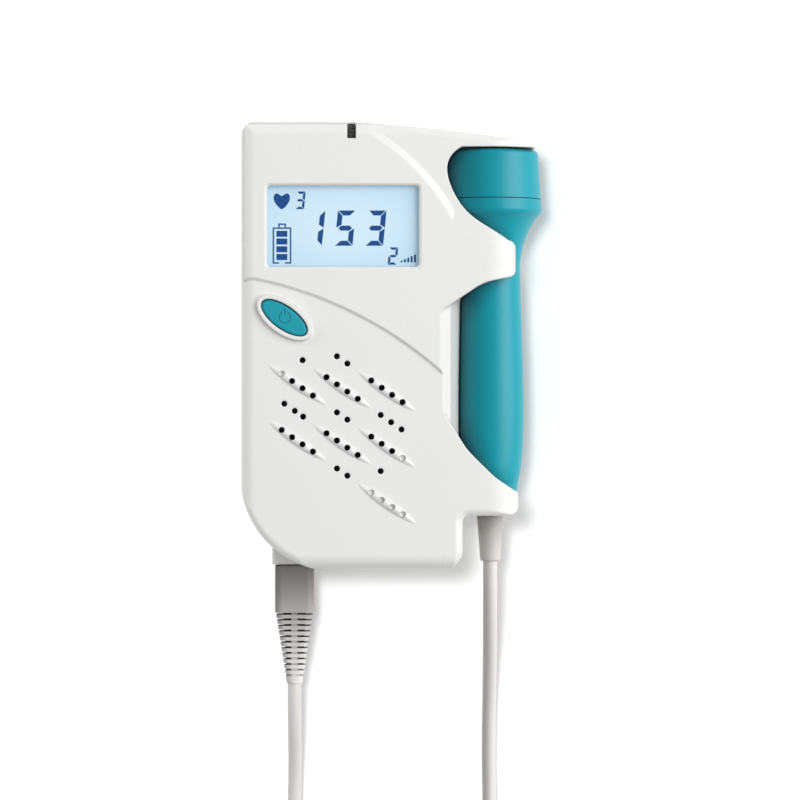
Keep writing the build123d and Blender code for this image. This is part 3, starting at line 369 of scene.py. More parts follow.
def evaluated_mesh(thing):
    """The plain mesh that an object's curve and modifiers make."""
    graph = bpy.context.evaluated_depsgraph_get()
    return bpy.data.meshes.new_from_object(thing.evaluated_get(graph))


def shade_smooth(mesh):
    """Shades every face of a mesh smooth."""
    mesh.polygons.foreach_set("use_smooth", [True] * len(mesh.polygons))


def tube_along(name, points, radius):
    """A round mesh tube along the spline, and the points of the spline's own line."""
    cable = lay_spline(name + "_line", points)
    line = [vertex.co.copy() for vertex in evaluated_mesh(cable).vertices]
    cable.data.bevel_depth = radius
    cable.data.bevel_resolution = 5
    cable.data.use_fill_caps = True
    mesh = evaluated_mesh(cable)
    mesh.name = name
    bpy.data.objects.remove(cable)
    shade_smooth(mesh)
    return add_object(name, mesh), line


def line_length(line):
    """The length of a line of points."""
    return sum((b - a).length for a, b in zip(line, line[1:]))


probe_lead, probe_line = tube_along("probe_lead", probe_route, cord_radius)
main_cord, main_line = tube_along(
    "main_cord", [probe_route[-1], *coil_points, *plug_route], cord_radius
)
print("probe lead, then coil and plug lead, in mm", in_mm(map(line_length, (probe_line, main_line))))

# %% [markdown]
# ### Grain, drift and painted shade
# No made surface is quite even. A mould or a die leaves a grain, which is drawn as bump. Pigment leaves a
# slow drift between two close tones, and handling leaves a gloss that wanders. Painted shade darkens the
# colour of whatever lies close to another wall, where less light would reach. Each of the four is one
# function here, its size is in millimetres, and a finish takes those that it needs.

# %% Four ways to break an even surface
# A colour mix has several sockets of each name, so these are picked by their numbers.
MIX_SHARE = 0
MIX_FIRST = 6
MIX_SECOND = 7
MIX_RESULT = 2


def add_grain(tree, shader, place, size_mm, depth_mm, detail=3.0, stretch=(1, 1, 1), edge_mm=0.0):
    """Fine grain as bump, in real millimetres, over edges whose shading is rounded by edge_mm."""
    mapped = add_node(tree, "ShaderNodeMapping", {"Scale": stretch}, {"Vector": place})
    noise = add_node(
        tree,
        "ShaderNodeTexNoise",
        {"Scale": 1 / (size_mm * MM), "Detail": detail},
        {"Vector": mapped.outputs["Vector"]},
    )
    bump = add_node(
        tree,
        "ShaderNodeBump",
        {"Strength": 1.0, "Distance": depth_mm * MM},
        {"Height": noise.outputs["Fac"]},
    )
    if edge_mm > 0:
        rounded = add_node(tree, "ShaderNodeBevel", {"Radius": edge_mm * MM, "samples": 6})
        tree.links.new(rounded.outputs["Normal"], bump.inputs["Normal"])
    tree.links.new(bump.outputs["Normal"], shader.inputs["Normal"])
    return noise.outputs["Fac"]


def add_drift(tree, shader, place, swatch_a, swatch_b, size_mm):
    """A slow drift between two close colours, as in any moulded or dyed surface."""
    noise = add_node(
        tree,
        "ShaderNodeTexNoise",
        {"Scale": 1 / (size_mm * MM), "Detail": 8.0, "Roughness": 0.75},
        {"Vector": place},
    )
    mix = add_node(
        tree,
        "ShaderNodeMix",
        {"data_type": "RGBA", MIX_FIRST: linear(swatch_a), MIX_SECOND: linear(swatch_b)},
        {MIX_SHARE: noise.outputs["Fac"]},
    )
    tree.links.new(mix.outputs[MIX_RESULT], shader.inputs["Base Color"])
    return mix.outputs[MIX_RESULT]


def add_painted_shade(tree, shader, colour, swatch, reach_mm, low, high):
    """Paints shade into a colour where other walls stand close, by how open the surface is within that reach.
    """
    openness = add_node(
        tree, "ShaderNodeAmbientOcclusion", {"Distance": reach_mm * MM, "samples": 8}
    ).outputs["AO"]
    share = add_node(
        tree, "ShaderNodeMapRange", {"From Min": low, "From Max": high}, {"Value": openness}
    )
    # The swatch is the colour of the painted shade.
    mix = add_node(
        tree,
        "ShaderNodeMix",
        {"data_type": "RGBA", MIX_FIRST: linear(swatch)},
        {MIX_SHARE: share.outputs["Result"], MIX_SECOND: colour},
    )
    tree.links.new(mix.outputs[MIX_RESULT], shader.inputs["Base Color"])


def add_gloss_range(tree, shader, place, low, high, size_mm):
    """Roughness that wanders between two values, as handling leaves it."""
    noise = add_node(
        tree, "ShaderNodeTexNoise", {"Scale": 1 / (size_mm * MM), "Detail": 4.0}, {"Vector": place}
    )
    spread = add_node(
        tree, "ShaderNodeMapRange", {"To Min": low, "To Max": high}, {"Value": noise.outputs["Fac"]}
    )
    tree.links.new(spread.outputs["Result"], shader.inputs["Roughness"])


print("pattern helpers", [way.__name__ for way in (add_grain, add_drift, add_painted_shade, add_gloss_range)])

# %% [markdown]
# ### PVC cable jacket
# The jacket is plasticised PVC, extruded through a round die. It is soft, faintly waxy and even in colour.
# Extrusion leaves a very fine skin texture, and handling leaves a slow drift in tone. Its roughness is
# about 0.5, and its IOR that of PVC, 1.53. The real texture is finer than the 0.8 mm that it is drawn with,
# which is as coarse as it has to be to show.

# %% Jacket finish
jacket, tree, shader, place = start_material("extruded_pvc_jacket", "#DAD6D3", 0.5, IOR=1.53)
add_drift(tree, shader, place, "#DCD8D5", "#D7D3D0", size_mm=30.0)
add_grain(tree, shader, place, size_mm=0.8, depth_mm=0.02)
for lead in (probe_lead, main_cord):
    lead.data.materials.clear()
    lead.data.materials.append(jacket)
print("jacket on", probe_lead.name, "and", main_cord.name)

# %% [markdown]
# ## Skins for the CAD solids
# A CAD solid arrives as loose triangles. That is exact, but it shades in facets. For each piece that shows,
# a merged copy stands in for it: its triangles are joined at their shared corners and shaded smooth, and an
# edge stays crisp where the surface turns by more than a set angle. Large faces weigh more in the smoothing,
# so a flat front stays flat up to its roundings. The shape stays as it is, but for one place: the low strip
# beside the display zone ends at the finger in a step, and there the skin lifts it so that the step fades
# out. Each cover is one moulding that CAD keeps in two nodes, so its skin joins both and leaves out the walls
# where they touch.

# %% Fade the step at the strip's end
zone_end = {
    "start": (19.4 * MM, 35.2 * MM),
    "away": (-0.74, 0.672),
    "low": 30.6 * MM,
    "high": 31.4 * MM,
    "run": 6.0 * MM,
    "reach": 11.0 * MM,
}


def fade_step(work, start, away, low, high, run, reach):
    """Lifts a low strip towards the face beside it, so that the step between them fades out along a run.

    The step is a line through start, and the run goes from it the way of away. A corner is lifted only where
    it lies on the low level and within reach of start. One that lies just before the line is moved onto it.
    """
    level_slack = 0.01 * MM
    line_slack = 0.2 * MM
    merge_distance = 0.02 * MM
    away = Vector(away).normalized()
    lifted = 0
    foot = []
    for vertex in work.verts:
        offset = vertex.co.xy - Vector(start)
        distance = offset.dot(away)
        on_strip = abs(vertex.co.z - low) <= level_slack and offset.length <= reach
        if on_strip and -line_slack < distance < run:
            share = 1 - max(distance, 0) / run
            vertex.co.z += (high - low) * share * share * (3 - 2 * share)
            lifted += 1
            if distance < 0:
                vertex.co.xy -= distance * away
                foot.append(vertex)
    edges = {edge for vertex in foot for edge in vertex.link_edges}
    bmesh.ops.dissolve_degenerate(work, dist=merge_distance, edges=list(edges))
    return lifted


print("step of", in_mm([zone_end["high"] - zone_end["low"]]), "mm fades over", in_mm([zone_end["run"]]))

# %% Skin a node
bodies = frame["record"]["behaviour"]["bodies"]
body_of_node = {node: body for body, nodes in bodies.items() for node in nodes}
slot_of_node = {part["node"]: part["material_slot"] for part in frame["record"]["subparts"]}
SAME_PLACE = 0.001 * MM


def skin(*nodes, crisp_degrees=22.0, ease=None):
    """A merged, smooth copy of CAD nodes that stands for them and rides on their body."""
    first = nodes[0]
    work = bmesh.new()
    for node in nodes:
        work.from_mesh(frame["nodes"][node].data)
    bmesh.ops.remove_doubles(work, verts=work.verts, dist=SAME_PLACE)
    if len(nodes) > 1:
        cut_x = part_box(first)[1].x
        inner = [
            face
            for face in work.faces
            if all(abs(vertex.co.x - cut_x) < SAME_PLACE for vertex in face.verts)
        ]
        bmesh.ops.delete(work, geom=inner, context="FACES")
    if ease is not None:
        print(first, "step faded at", fade_step(work, **ease), "corners")
    mesh = bpy.data.meshes.new(first + "_skin")
    work.to_mesh(mesh)
    work.free()
    if mesh.has_custom_normals:
        mesh.attributes.remove(mesh.attributes["custom_normal"])
    shade_smooth(mesh)
    mesh.set_sharp_from_angle(angle=math.radians(crisp_degrees))
    piece = add_object(first + "_skin", mesh)
    weights = piece.modifiers.new("weights", "WEIGHTED_NORMAL")
    weights.keep_sharp = True
    piece.data = evaluated_mesh(piece)
    piece.data.name = first + "_skin"
    piece.modifiers.clear()
    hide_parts(*nodes)
    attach(piece, body_of_node[first])
    return piece


shown = {
    "front_cover": skin("front_cover", "front_bay", crisp_degrees=15.0, ease=zone_end),
    "rear_cover": skin("rear_cover", "rear_bay", crisp_degrees=15.0),
}
for node in (
    "battery_door",
    "case_screws",
    "battery_1",
    "battery_2",
    "display_lens",
    "display_panel",
    "power_button",
    "volume_wheel",
    "headphone_jack",
    "probe_socket",
    "plug_boot",
    "plug_nose",
    "probe_cap",
    "probe_handle",
    "probe_face",
    "probe_relief",
    "speaker_cone",
    "speaker_frame",
):
    shown[node] = skin(node)
print("skins", len(shown), "triangles", sum(len(piece.data.polygons) for piece in shown.values()))

# %% [markdown]
# ### Lamps for the far side and for the probe
# The covers and the plug's lead turn their left side away from the object's lamp, so a weak one lifts that
# side alone. The probe gets a lamp of its own instead of the object's. It stands lower, which darkens the
# probe's left side and moves the sheen to the right.

# %% Two more lamps
far_side = light_group("far_side", "INCLUDE", shown["front_cover"], shown["rear_cover"], main_cord)
edge_lamp = soft_lamp("edge_lamp", (-1.10, 0.55, 0.35), size=0.80, watts=6.2)
edge_lamp.light_linking.receiver_collection = far_side
probe_pieces = [shown["probe_handle"], shown["probe_cap"], shown["probe_relief"], probe_lead]
add_members(left_out, "EXCLUDE", *probe_pieces)
probe_lamp = soft_lamp("probe_lamp", (1.25, 0.30, 0.80), size=1.30, watts=24.5)
probe_lamp.light_linking.receiver_collection = light_group("probe_only", "INCLUDE", *probe_pieces)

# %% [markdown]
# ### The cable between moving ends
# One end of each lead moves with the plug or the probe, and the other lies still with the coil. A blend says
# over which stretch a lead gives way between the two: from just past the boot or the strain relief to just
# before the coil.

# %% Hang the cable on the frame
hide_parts("cord_plug_lead", "cord_coil")
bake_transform(main_cord, "plug", "unit", start=(-0.0298, -0.106, 0.0096), end=(-0.0298, -0.148, 0.003))
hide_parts("cord_probe_lead")
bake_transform(probe_lead, "probe", "unit", start=(0.0298, -0.078, 0.016), end=(0.0298, -0.150, 0.004))

# %% [markdown]
# ## Moulded plastics
# The housing, the probe and the button are ABS, injection moulded. ABS has an IOR of 1.53. A close look
# shows a fine orange peel, a very slow drift in tone from the pigment, and a gloss that handling has made
# uneven. All three are kept small, so that the piece still reads as new. The covers' mould is polished, which
# makes them glossier than the satin probe and button. Where the probe lies close to its bay, painted shade
# deepens the teal, in place of the light that doesn't reach it there. The wheel and the small black and grey
# parts come from a matt mould with a coarser grain.

# %% Moulded ABS


def moulded(
    name,
    swatch_a,
    swatch_b,
    low,
    high,
    grain_mm=0.9,
    depth_mm=0.006,
    edge_mm=0.0,
    painted_shade=None,
    sheen=0.5,
):
    """A moulded plastic of two close tones, with a fine grain and a roughness between low and high."""
    material, tree, shader, place = start_material(
        name, swatch_a, low, IOR=1.53, **{"Specular IOR Level": sheen}
    )
    colour = add_drift(tree, shader, place, swatch_a, swatch_b, size_mm=45.0)
    # With a shade colour given, shade is painted into the tone where other walls stand close.
    if painted_shade is not None:
        add_painted_shade(tree, shader, colour, painted_shade, reach_mm=9.0, low=0.0, high=0.9)
    add_gloss_range(tree, shader, place, low, high, size_mm=18.0)
    add_grain(tree, shader, place, grain_mm, depth_mm, edge_mm=edge_mm)
    return material


white_abs = moulded("polished_white_abs", "#E6E6E3", "#E5E5E2", 0.26, 0.30, depth_mm=0.004, edge_mm=0.8)
# The teal gets painted shade near the walls of its bay.
teal_abs = moulded(
    "satin_teal_abs", "#0A9CAB", "#0896A5", 0.34, 0.42, edge_mm=0.2, painted_shade="#003A48", sheen=0.28
)
button_abs = moulded("satin_teal_button_abs", "#129FB0", "#109BAB", 0.34, 0.42, edge_mm=0.2, sheen=0.35)
matt_mould = {"grain_mm": 0.4, "depth_mm": 0.02}
wheel_abs = moulded("matt_graphite_abs", "#3E3D3D", "#444343", 0.5, 0.65, **matt_mould)
black_abs = moulded("matt_black_abs", "#17181A", "#1C1D1F", 0.5, 0.65, **matt_mould)
grey_abs = moulded("matt_grey_abs", "#8E8D89", "#868581", 0.45, 0.6, **matt_mould)
print("plastics", [material.name for material in (white_abs, teal_abs, button_abs)])
print("matt ones", [material.name for material in (wheel_abs, black_abs, grey_abs)])

# %% [markdown]
# ### Grey TPE for the boot and the strain relief
# These are thermoplastic rubber, moulded over the cable so that they bend with it. Rubber is matt, with a
# roughness near 0.6, and its skin is a little grainy. The boot pales towards its thin end. Painted shade
# makes its slots dark.

# %% Rubber finishes


def rubber(name, swatch_a, swatch_b, fade_from=None, fade_to=None, pale=None):
    """A matt moulded rubber. With a fade, it pales along Y between two places, and its slots get painted
    shade.
    """
    material, tree, shader, place = start_material(name, swatch_a, 0.6, IOR=1.5)
    colour = add_drift(tree, shader, place, swatch_a, swatch_b, size_mm=12.0)
    add_grain(tree, shader, place, size_mm=0.5, depth_mm=0.02)
    if pale is not None:
        axes = add_node(tree, "ShaderNodeSeparateXYZ", links={0: place})
        fade = add_node(
            tree,
            "ShaderNodeMapRange",
            {"From Min": fade_from, "From Max": fade_to, "interpolation_type": "SMOOTHSTEP"},
            {"Value": axes.outputs["Y"]},
        )
        mix = add_node(
            tree,
            "ShaderNodeMix",
            {"data_type": "RGBA", MIX_SECOND: linear(pale)},
            {MIX_SHARE: fade.outputs["Result"], MIX_FIRST: colour},
        )
        faded = mix.outputs[MIX_RESULT]
        # Painted shade: the colour darkens in the slots and wherever other walls stand close.
        add_painted_shade(tree, shader, faded, "#151413", reach_mm=2.0, low=0.35, high=0.80)
    return material


boot_low, boot_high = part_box("plug_boot")
relief_low, relief_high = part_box("probe_relief")
boot_fade_starts = boot_high.y - 2 * MM
relief_fade_starts = relief_high.y - 8 * MM
boot_rubber = rubber("grey_boot_tpe", "#8B8885", "#908D8A", boot_fade_starts, boot_low.y, "#E8E6E4")
relief_rubber = rubber(
    "grey_relief_tpe", "#A4A19D", "#AAA7A3", relief_fade_starts, relief_low.y, "#CFCBC8"
)
black_rubber = rubber("black_silicone", "#1A1B1D", "#202124")
print("rubbers", boot_rubber.name, relief_rubber.name, black_rubber.name)

# %% [markdown]
# ### Metals
# Springs and contact plates are nickel-plated steel, screws and the magnet's cup are zinc plated, and the
# contacts of the plug and its socket are gold plated. The probe's shield is tinned sheet and its wires are
# enamelled copper. A metal is a tinted mirror, so it gets a metallic value of 1 and keeps the default IOR.
# Drawing and stamping leave fine lines one way, and they come from noise that is stretched. Zinc is plated in
# a barrel, so its grain is the same all ways. The lines are drawn wider than the real ones, so that they show
# at all.

# %% Plated metals


def plated(name, swatch, low, high, line_mm=0.25, stretch=(1, 8, 1)):
    """A plated metal with fine lines from drawing or stamping, which also make its gloss uneven."""
    material, tree, shader, place = start_material(name, swatch, low, Metallic=1.0)
    lines = add_grain(tree, shader, place, line_mm, depth_mm=0.003, detail=2.0, stretch=stretch)
    spread = add_node(tree, "ShaderNodeMapRange", {"To Min": low, "To Max": high}, {"Value": lines})
    tree.links.new(spread.outputs["Result"], shader.inputs["Roughness"])
    return material


nickel = plated("nickel_plated_steel", "#C9C8C4", 0.22, 0.34)
zinc = plated("zinc_plated_steel", "#B4B7BA", 0.30, 0.45, line_mm=0.4, stretch=(1, 1, 1))
gold = plated("gold_plated_brass", "#E0B45A", 0.18, 0.3)
tin = plated("tinned_steel", "#C6C9CB", 0.32, 0.44, line_mm=0.5, stretch=(6, 1, 1))
copper = plated("enamelled_copper", "#C46A3A", 0.25, 0.35, line_mm=0.3, stretch=(8, 1, 1))
print("metals", [material.name for material in (nickel, zinc, gold, tin, copper)])

# %% [markdown]
# ### The display
# The window is a clear acrylic plate with a hard coat. Light passes it almost whole, so the plate is mostly
# see-through, and its polished skin gives the reflections. Behind it lies a liquid crystal panel with a pale
# blue backlight. A light guide spreads the light, and leaves the field a little brighter in the middle and
# deeper towards its rim. The polariser film over it has a grain along one direction, drawn far coarser than
# the real one. Switched segments let little light through, and show as a deep, even blue.

# %% Window and backlit panel
clear_acrylic, tree, shader, place = start_material(
    "hard_coated_acrylic", "#B9C9D2", 0.04, IOR=1.49, Alpha=0.015
)
add_gloss_range(tree, shader, place, 0.03, 0.07, size_mm=12.0)

panel_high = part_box("display_panel")[1]
window_low, window_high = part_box("display_lens")
window_middle = (window_low + window_high) / 2
field_reach_x = 26 * MM
field_reach_y = 14 * MM

backlit, tree, shader, place = start_material("backlit_liquid_crystal", "#BFDCEE", 0.45, IOR=1.5)
from_middle = add_node(
    tree,
    "ShaderNodeMapping",
    {
        "vector_type": "POINT",
        "Location": (-window_middle.x / field_reach_x, -window_middle.y / field_reach_y, 0),
        "Scale": (1 / field_reach_x, 1 / field_reach_y, 0),
    },
    {"Vector": place},
)
distance = add_node(
    tree, "ShaderNodeVectorMath", {"operation": "LENGTH"}, {0: from_middle.outputs["Vector"]}
)
rim = add_node(
    tree,
    "ShaderNodeMapRange",
    {"From Min": 0.2, "From Max": 1.25, "interpolation_type": "SMOOTHSTEP"},
    {"Value": distance.outputs["Value"]},
)
field = add_node(
    tree,
    "ShaderNodeMix",
    {"data_type": "RGBA", MIX_FIRST: linear("#C6DDEB"), MIX_SECOND: linear("#B4D2E4")},
    {MIX_SHARE: rim.outputs["Result"]},
)
tree.links.new(field.outputs[MIX_RESULT], shader.inputs["Base Color"])
tree.links.new(field.outputs[MIX_RESULT], shader.inputs["Emission Color"])
shader.inputs["Emission Strength"].default_value = 0.22
add_grain(tree, shader, place, size_mm=0.3, depth_mm=0.001, detail=2.0, stretch=(1, 6, 1))

segment_ink, tree, shader, place = start_material(
    "switched_liquid_crystal", "#0C488A", 0.6, IOR=1.5, **{"Specular IOR Level": 0.1}
)
add_drift(tree, shader, place, "#0A4688", "#104E90", size_mm=1.2)
print("window in mm", in_mm(window_low), in_mm(window_high), "panel's face", in_mm([panel_high.z]))

# %% [markdown]
# ## The picture on the display
# A segment display draws every figure from the same seven bars. Each bar is a thin plate with pointed or
# slanted ends, and a small gap keeps it from its neighbours. The whole figure leans to the right. Here a
# figure is a list of bar letters, and the corners of its bars are worked out once. Places on the display are
# in millimetres from the window's lower left corner.

# %% Outlines of the figures
BARS = {"1": "bc", "2": "abged", "3": "abgcd", "5": "afgcd"}


def figure(sign, left, low, width, height, bar, gap, lean):
    """The outlines of one seven-segment figure, leaning to the right."""
    middle = height / 2
    half = bar / 2
    # The middle bar is drawn in at its ends, and the posts keep a smaller gap than the flat bars.
    inset = 0.3 * bar
    end_gap = 0.6 * gap

    def level(y):
        """The middle bar, with two pointed ends."""
        return [
            (gap + inset, y),
            (gap + half + inset, y + half),
            (width - gap - half - inset, y + half),
            (width - gap - inset, y),
            (width - gap - half - inset, y - half),
            (gap + half + inset, y - half),
        ]

    def trapezoid(y, inner):
        """The top or the bottom bar, with two slanted ends."""
        return [(gap, y), (width - gap, y), (width - gap - bar, inner), (gap + bar, inner)]

    def post(outer, inner, low_end, high_end, high_cut, low_cut):
        """An upright bar, whose ends are cut at a slant."""
        return [
            (outer, low_end + end_gap),
            (outer, high_end - end_gap),
            (inner, high_end - end_gap - high_cut),
            (inner, low_end + end_gap + low_cut),
        ]

    shapes = {
        "a": trapezoid(height, height - bar),
        "d": trapezoid(0.0, bar),
        "g": level(middle),
        "b": post(width, width - bar, middle, height, bar, half + gap),
        "c": post(width, width - bar, 0.0, middle, half + gap, bar),
        "f": post(0.0, bar, middle, height, bar, half + gap),
        "e": post(0.0, bar, 0.0, middle, half + gap, bar),
    }
    return [[(left + x + lean * y, low + y) for x, y in shapes[letter]] for letter in BARS[sign]]


first_left = 12.0
pitch = 9.2
picture = []
for index, sign in enumerate("153"):
    left = first_left + pitch * index
    picture += figure(sign, left, low=7.4, width=5.4, height=10.6, bar=1.5, gap=0.2, lean=0.10)
# A small 3 stands beside the heart, and a small 2 beside the signal.
picture += figure("3", 9.4, low=18.4, width=2.65, height=5.3, bar=0.7, gap=0.12, lean=0.09)
picture += figure("2", 37.2, low=1.7, width=2.7, height=5.2, bar=0.7, gap=0.12, lean=0.09)
print("figure outlines", len(picture))

# %% [markdown]
# The icons are generic: a heart for the beat, a battery with its charge, and rising bars for the signal.
# The heart is the classic curve of sines and cosines, fuller and with a shallow notch, scaled to its place.

# %% Outlines of the icons


def box_outline(left, low, right, high):
    """The corners of an upright rectangle."""
    return [(left, low), (right, low), (right, high), (left, high)]


heart_middle = Vector((5.35, 21.2))
heart_half = 2.45
curve_half_width = 16
curve_half_height = 14
heart_steps = 48
heart = []
for step in range(heart_steps):
    t = 2 * math.pi * step / heart_steps
    x = 6 * math.sin(t) ** 3 + 10 * math.sin(t)
    y = 13 * math.cos(t) - 4 * math.cos(2 * t) - 1.6 * math.cos(3 * t) - 0.6 * math.cos(4 * t)
    out = Vector((x / curve_half_width, y / curve_half_height)) * heart_half
    heart.append(tuple(heart_middle + out))

# The battery is a case with a gap in its foot, and a knob on top.
stroke = 0.42
case_left, case_right = 2.6, 8.2
case_low, case_high = 2.0, 12.9
foot_left, foot_right = 4.5, 6.3
knob_left, knob_right, knob_high = 4.3, 6.6, 14.1
battery = [
    box_outline(case_left, case_low, case_left + stroke, case_high),
    box_outline(case_right - stroke, case_low, case_right, case_high),
    box_outline(case_left + stroke, case_high - stroke, case_right - stroke, case_high),
    box_outline(case_left + stroke, case_low, foot_left, case_low + stroke),
    box_outline(foot_right, case_low, case_right - stroke, case_low + stroke),
    box_outline(knob_left, case_high, knob_left + stroke, knob_high),
    box_outline(knob_right - stroke, case_high, knob_right, knob_high),
    box_outline(knob_left + stroke, knob_high - stroke, knob_right - stroke, knob_high),
]

# Its charge is four bars, from the top down.
charge_left, charge_right = 3.75, 7.0
charge_low, charge_high = 10.1, 11.9
charge_pitch = 2.33
charge = []
for row in range(4):
    down = charge_pitch * row
    charge.append(box_outline(charge_left, charge_low - down, charge_right, charge_high - down))

# The signal is five bars, each a little taller than the one before.
signal_left, signal_low = 41.1, 2.4
signal_width = 0.6
signal_pitch = 1.0
shortest, growth = 0.5, 0.45
signal = []
for step in range(5):
    left = signal_left + signal_pitch * step
    high = signal_low + shortest + growth * step
    signal.append(box_outline(left, signal_low, left + signal_width, high))

icons = [heart, *battery, *charge, *signal]
print("icon outlines", len(icons))

# %% [markdown]
# ### From outlines to a piece
# In a real panel the picture is made in a thin layer between two sheets of glass. Here each outline is pulled
# up into a closed plate a few hundredths of a millimetre thick, which lies on the panel's face under the
# window. All plates are one piece, because they share one finish and never move apart.

# %% Raise the outlines into plates
plate_low = panel_high.z + 0.01 * MM
plate_high = panel_high.z + 0.05 * MM

work = bmesh.new()
for outline in picture + icons:
    places = [(window_low.x + x * MM, window_low.y + y * MM) for x, y in outline]
    base = [work.verts.new((x, y, plate_low)) for x, y in places]
    lid = [work.verts.new((x, y, plate_high)) for x, y in places]
    work.faces.new(list(reversed(base)))
    work.faces.new(lid)
    for i in range(len(outline)):
        j = (i + 1) % len(outline)
        work.faces.new((base[i], base[j], lid[j], lid[i]))
bmesh.ops.recalc_face_normals(work, faces=work.faces)
picture_mesh = bpy.data.meshes.new("display_picture")
work.to_mesh(picture_mesh)
work.free()
picture_mesh.materials.append(segment_ink)
display_picture = add_object("display_picture", picture_mesh)
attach(display_picture, "unit")
print("display plates", len(picture) + len(icons))

# %% [markdown]
# ## What lies inside
# Most of what is inside shows only through a gap, or when the battery door is off. It still gets its real
# finish. The board is glass laminate under green solder resist, a thin glossy lacquer, and the etched copper
# below it shows as paler lines.

# %% Solder resist
solder_resist, tree, shader, place = start_material("green_solder_resist", "#0F5A36", 0.35, IOR=1.5)
track_pitch = 6.0 * MM
tracks = add_node(
    tree,
    "ShaderNodeTexBrick",
    {
        "Color1": linear("#0E5533"),
        "Color2": linear("#12663E"),
        "Mortar": linear("#1D7A4C"),
        "Scale": 1 / track_pitch,
        "Mortar Size": 0.03,
        "Brick Width": 0.9,
        "Row Height": 0.2,
    },
    {"Vector": place},
)
tree.links.new(tracks.outputs["Color"], shader.inputs["Base Color"])
add_grain(tree, shader, place, size_mm=1.2, depth_mm=0.01)
print("board finish", solder_resist.name)

# %% [markdown]
# ### Sleeved cells
# A cell wears a glossy printed film that is shrunk onto its can: dark, with a copper band at the positive
# end. Only the tip there is left bare. The two cells lie head to tail, so the second sleeve runs the other
# way along Y.

# %% Cell sleeves
BAND_STARTS = 0.72
TIP_STARTS = 0.972


def cell_sleeve(name, plus_end, minus_end):
    """A cell's printed sleeve: a plain dark body with a copper band at its positive end."""
    material, tree, shader, place = start_material(name, "#20242A", 0.3, IOR=1.5, Metallic=0.3)
    axes = add_node(tree, "ShaderNodeSeparateXYZ", links={0: place})
    along = add_node(
        tree,
        "ShaderNodeMapRange",
        {"From Min": minus_end, "From Max": plus_end},
        {"Value": axes.outputs["Y"]},
    ).outputs["Result"]
    band = add_node(tree, "ShaderNodeMath", {"operation": "GREATER_THAN", 1: BAND_STARTS}, {0: along})
    sleeve = add_node(
        tree,
        "ShaderNodeMix",
        {"data_type": "RGBA", MIX_FIRST: linear("#20242A"), MIX_SECOND: linear("#B9733C")},
        {MIX_SHARE: band.outputs[0]},
    )
    tip = add_node(tree, "ShaderNodeMath", {"operation": "GREATER_THAN", 1: TIP_STARTS}, {0: along})
    cell = add_node(
        tree,
        "ShaderNodeMix",
        {"data_type": "RGBA", MIX_SECOND: linear("#C8C8C4")},
        {MIX_SHARE: tip.outputs[0], MIX_FIRST: sleeve.outputs[MIX_RESULT]},
    )
    tree.links.new(cell.outputs[MIX_RESULT], shader.inputs["Base Color"])
    add_grain(tree, shader, place, size_mm=0.6, depth_mm=0.004)
    return material


cell_low, cell_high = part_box("battery_1")
sleeve_1 = cell_sleeve("cell_sleeve_up", cell_high.y, cell_low.y)
sleeve_2 = cell_sleeve("cell_sleeve_down", cell_low.y, cell_high.y)
print("cell ends in mm", in_mm((cell_low.y, cell_high.y)))

# %% [markdown]
# ### Paper, ceramic, resin and clear plastics
# The speaker's cone is pressed paper, dull and dark, with short felted fibres. The crystals are fired
# ceramic, dry and cream coloured. The probe's window is cast epoxy. The light guide is acrylic with a frosted
# face, which spreads the backlight, and the plug's nose is clear polycarbonate.

# %% The small finishes
paper_cone, tree, shader, place = start_material("pressed_paper", "#26272A", 0.8)
add_drift(tree, shader, place, "#222326", "#2D2E31", size_mm=2.0)
add_grain(tree, shader, place, size_mm=0.35, depth_mm=0.04, detail=4.0)

ceramic, tree, shader, place = start_material("fired_ceramic", "#C9BFA2", 0.55, IOR=1.6)
add_drift(tree, shader, place, "#C9BFA2", "#BDB292", size_mm=1.5)
add_grain(tree, shader, place, size_mm=0.2, depth_mm=0.01)

cast_resin = moulded("cast_epoxy_resin", "#3A4046", "#343A40", 0.3, 0.45, grain_mm=0.6, depth_mm=0.01)
light_guide = moulded("frosted_light_guide", "#E9F1F6", "#E2ECF3", 0.5, 0.6, grain_mm=0.3, depth_mm=0.01)
clear_nose, tree, shader, place = start_material(
    "clear_polycarbonate", "#DADAD6", 0.12, IOR=1.58, Alpha=0.55
)
add_gloss_range(tree, shader, place, 0.08, 0.18, size_mm=3.0)
print("small finishes", paper_cone.name, ceramic.name, cast_resin.name, light_guide.name, clear_nose.name)

# %% [markdown]
# ### A finish for every piece
# Each CAD node names a material slot, and each slot has a finish. Five pieces differ from the rest of their
# slot: the two cells, the paler strain relief, the wheel and the button.

# %% Give each piece its finish
finish_of_slot = {
    "white_shell": white_abs,
    "teal_plastic": teal_abs,
    "grey_rubber": boot_rubber,
    "dark_rubber": black_rubber,
    "cord_jacket": jacket,
    "clear_lens": clear_acrylic,
    "display": backlit,
    "light_guide": light_guide,
    "black_plastic": black_abs,
    "socket_plastic": grey_abs,
    "clear_plug": clear_nose,
    "gold_contact": gold,
    "spring_steel": nickel,
    "screw_steel": zinc,
    "shield_tin": tin,
    "wire_copper": copper,
    "board": solder_resist,
    "speaker_paper": paper_cone,
    "magnet_cup": zinc,
    "probe_window": cast_resin,
    "crystal": ceramic,
}
finish_of_node = {
    "battery_1": sleeve_1,
    "battery_2": sleeve_2,
    "probe_relief": relief_rubber,
    "volume_wheel": wheel_abs,
    "power_button": button_abs,
}
for node, solid in frame["nodes"].items():
    finish = finish_of_node.get(node) or finish_of_slot[slot_of_node[node]]
    for piece in (solid, shown.get(node)):
        if piece is not None:
            piece.data.materials.clear()
            piece.data.materials.append(finish)
print("finished nodes", len(frame["nodes"]))

# %% [markdown]
# ## Battery springs
# CAD holds each spring as a plain cone. The real one is a conical coil of hard wire, wound so that its turns
# nest when a cell presses on it. A spiral is a rule, so Geometry Nodes make it: a spiral curve, a round
# profile along it, and one instance at each place. The sizes are inputs, so that another cell only needs
# other numbers.

# %% The tree that winds two springs


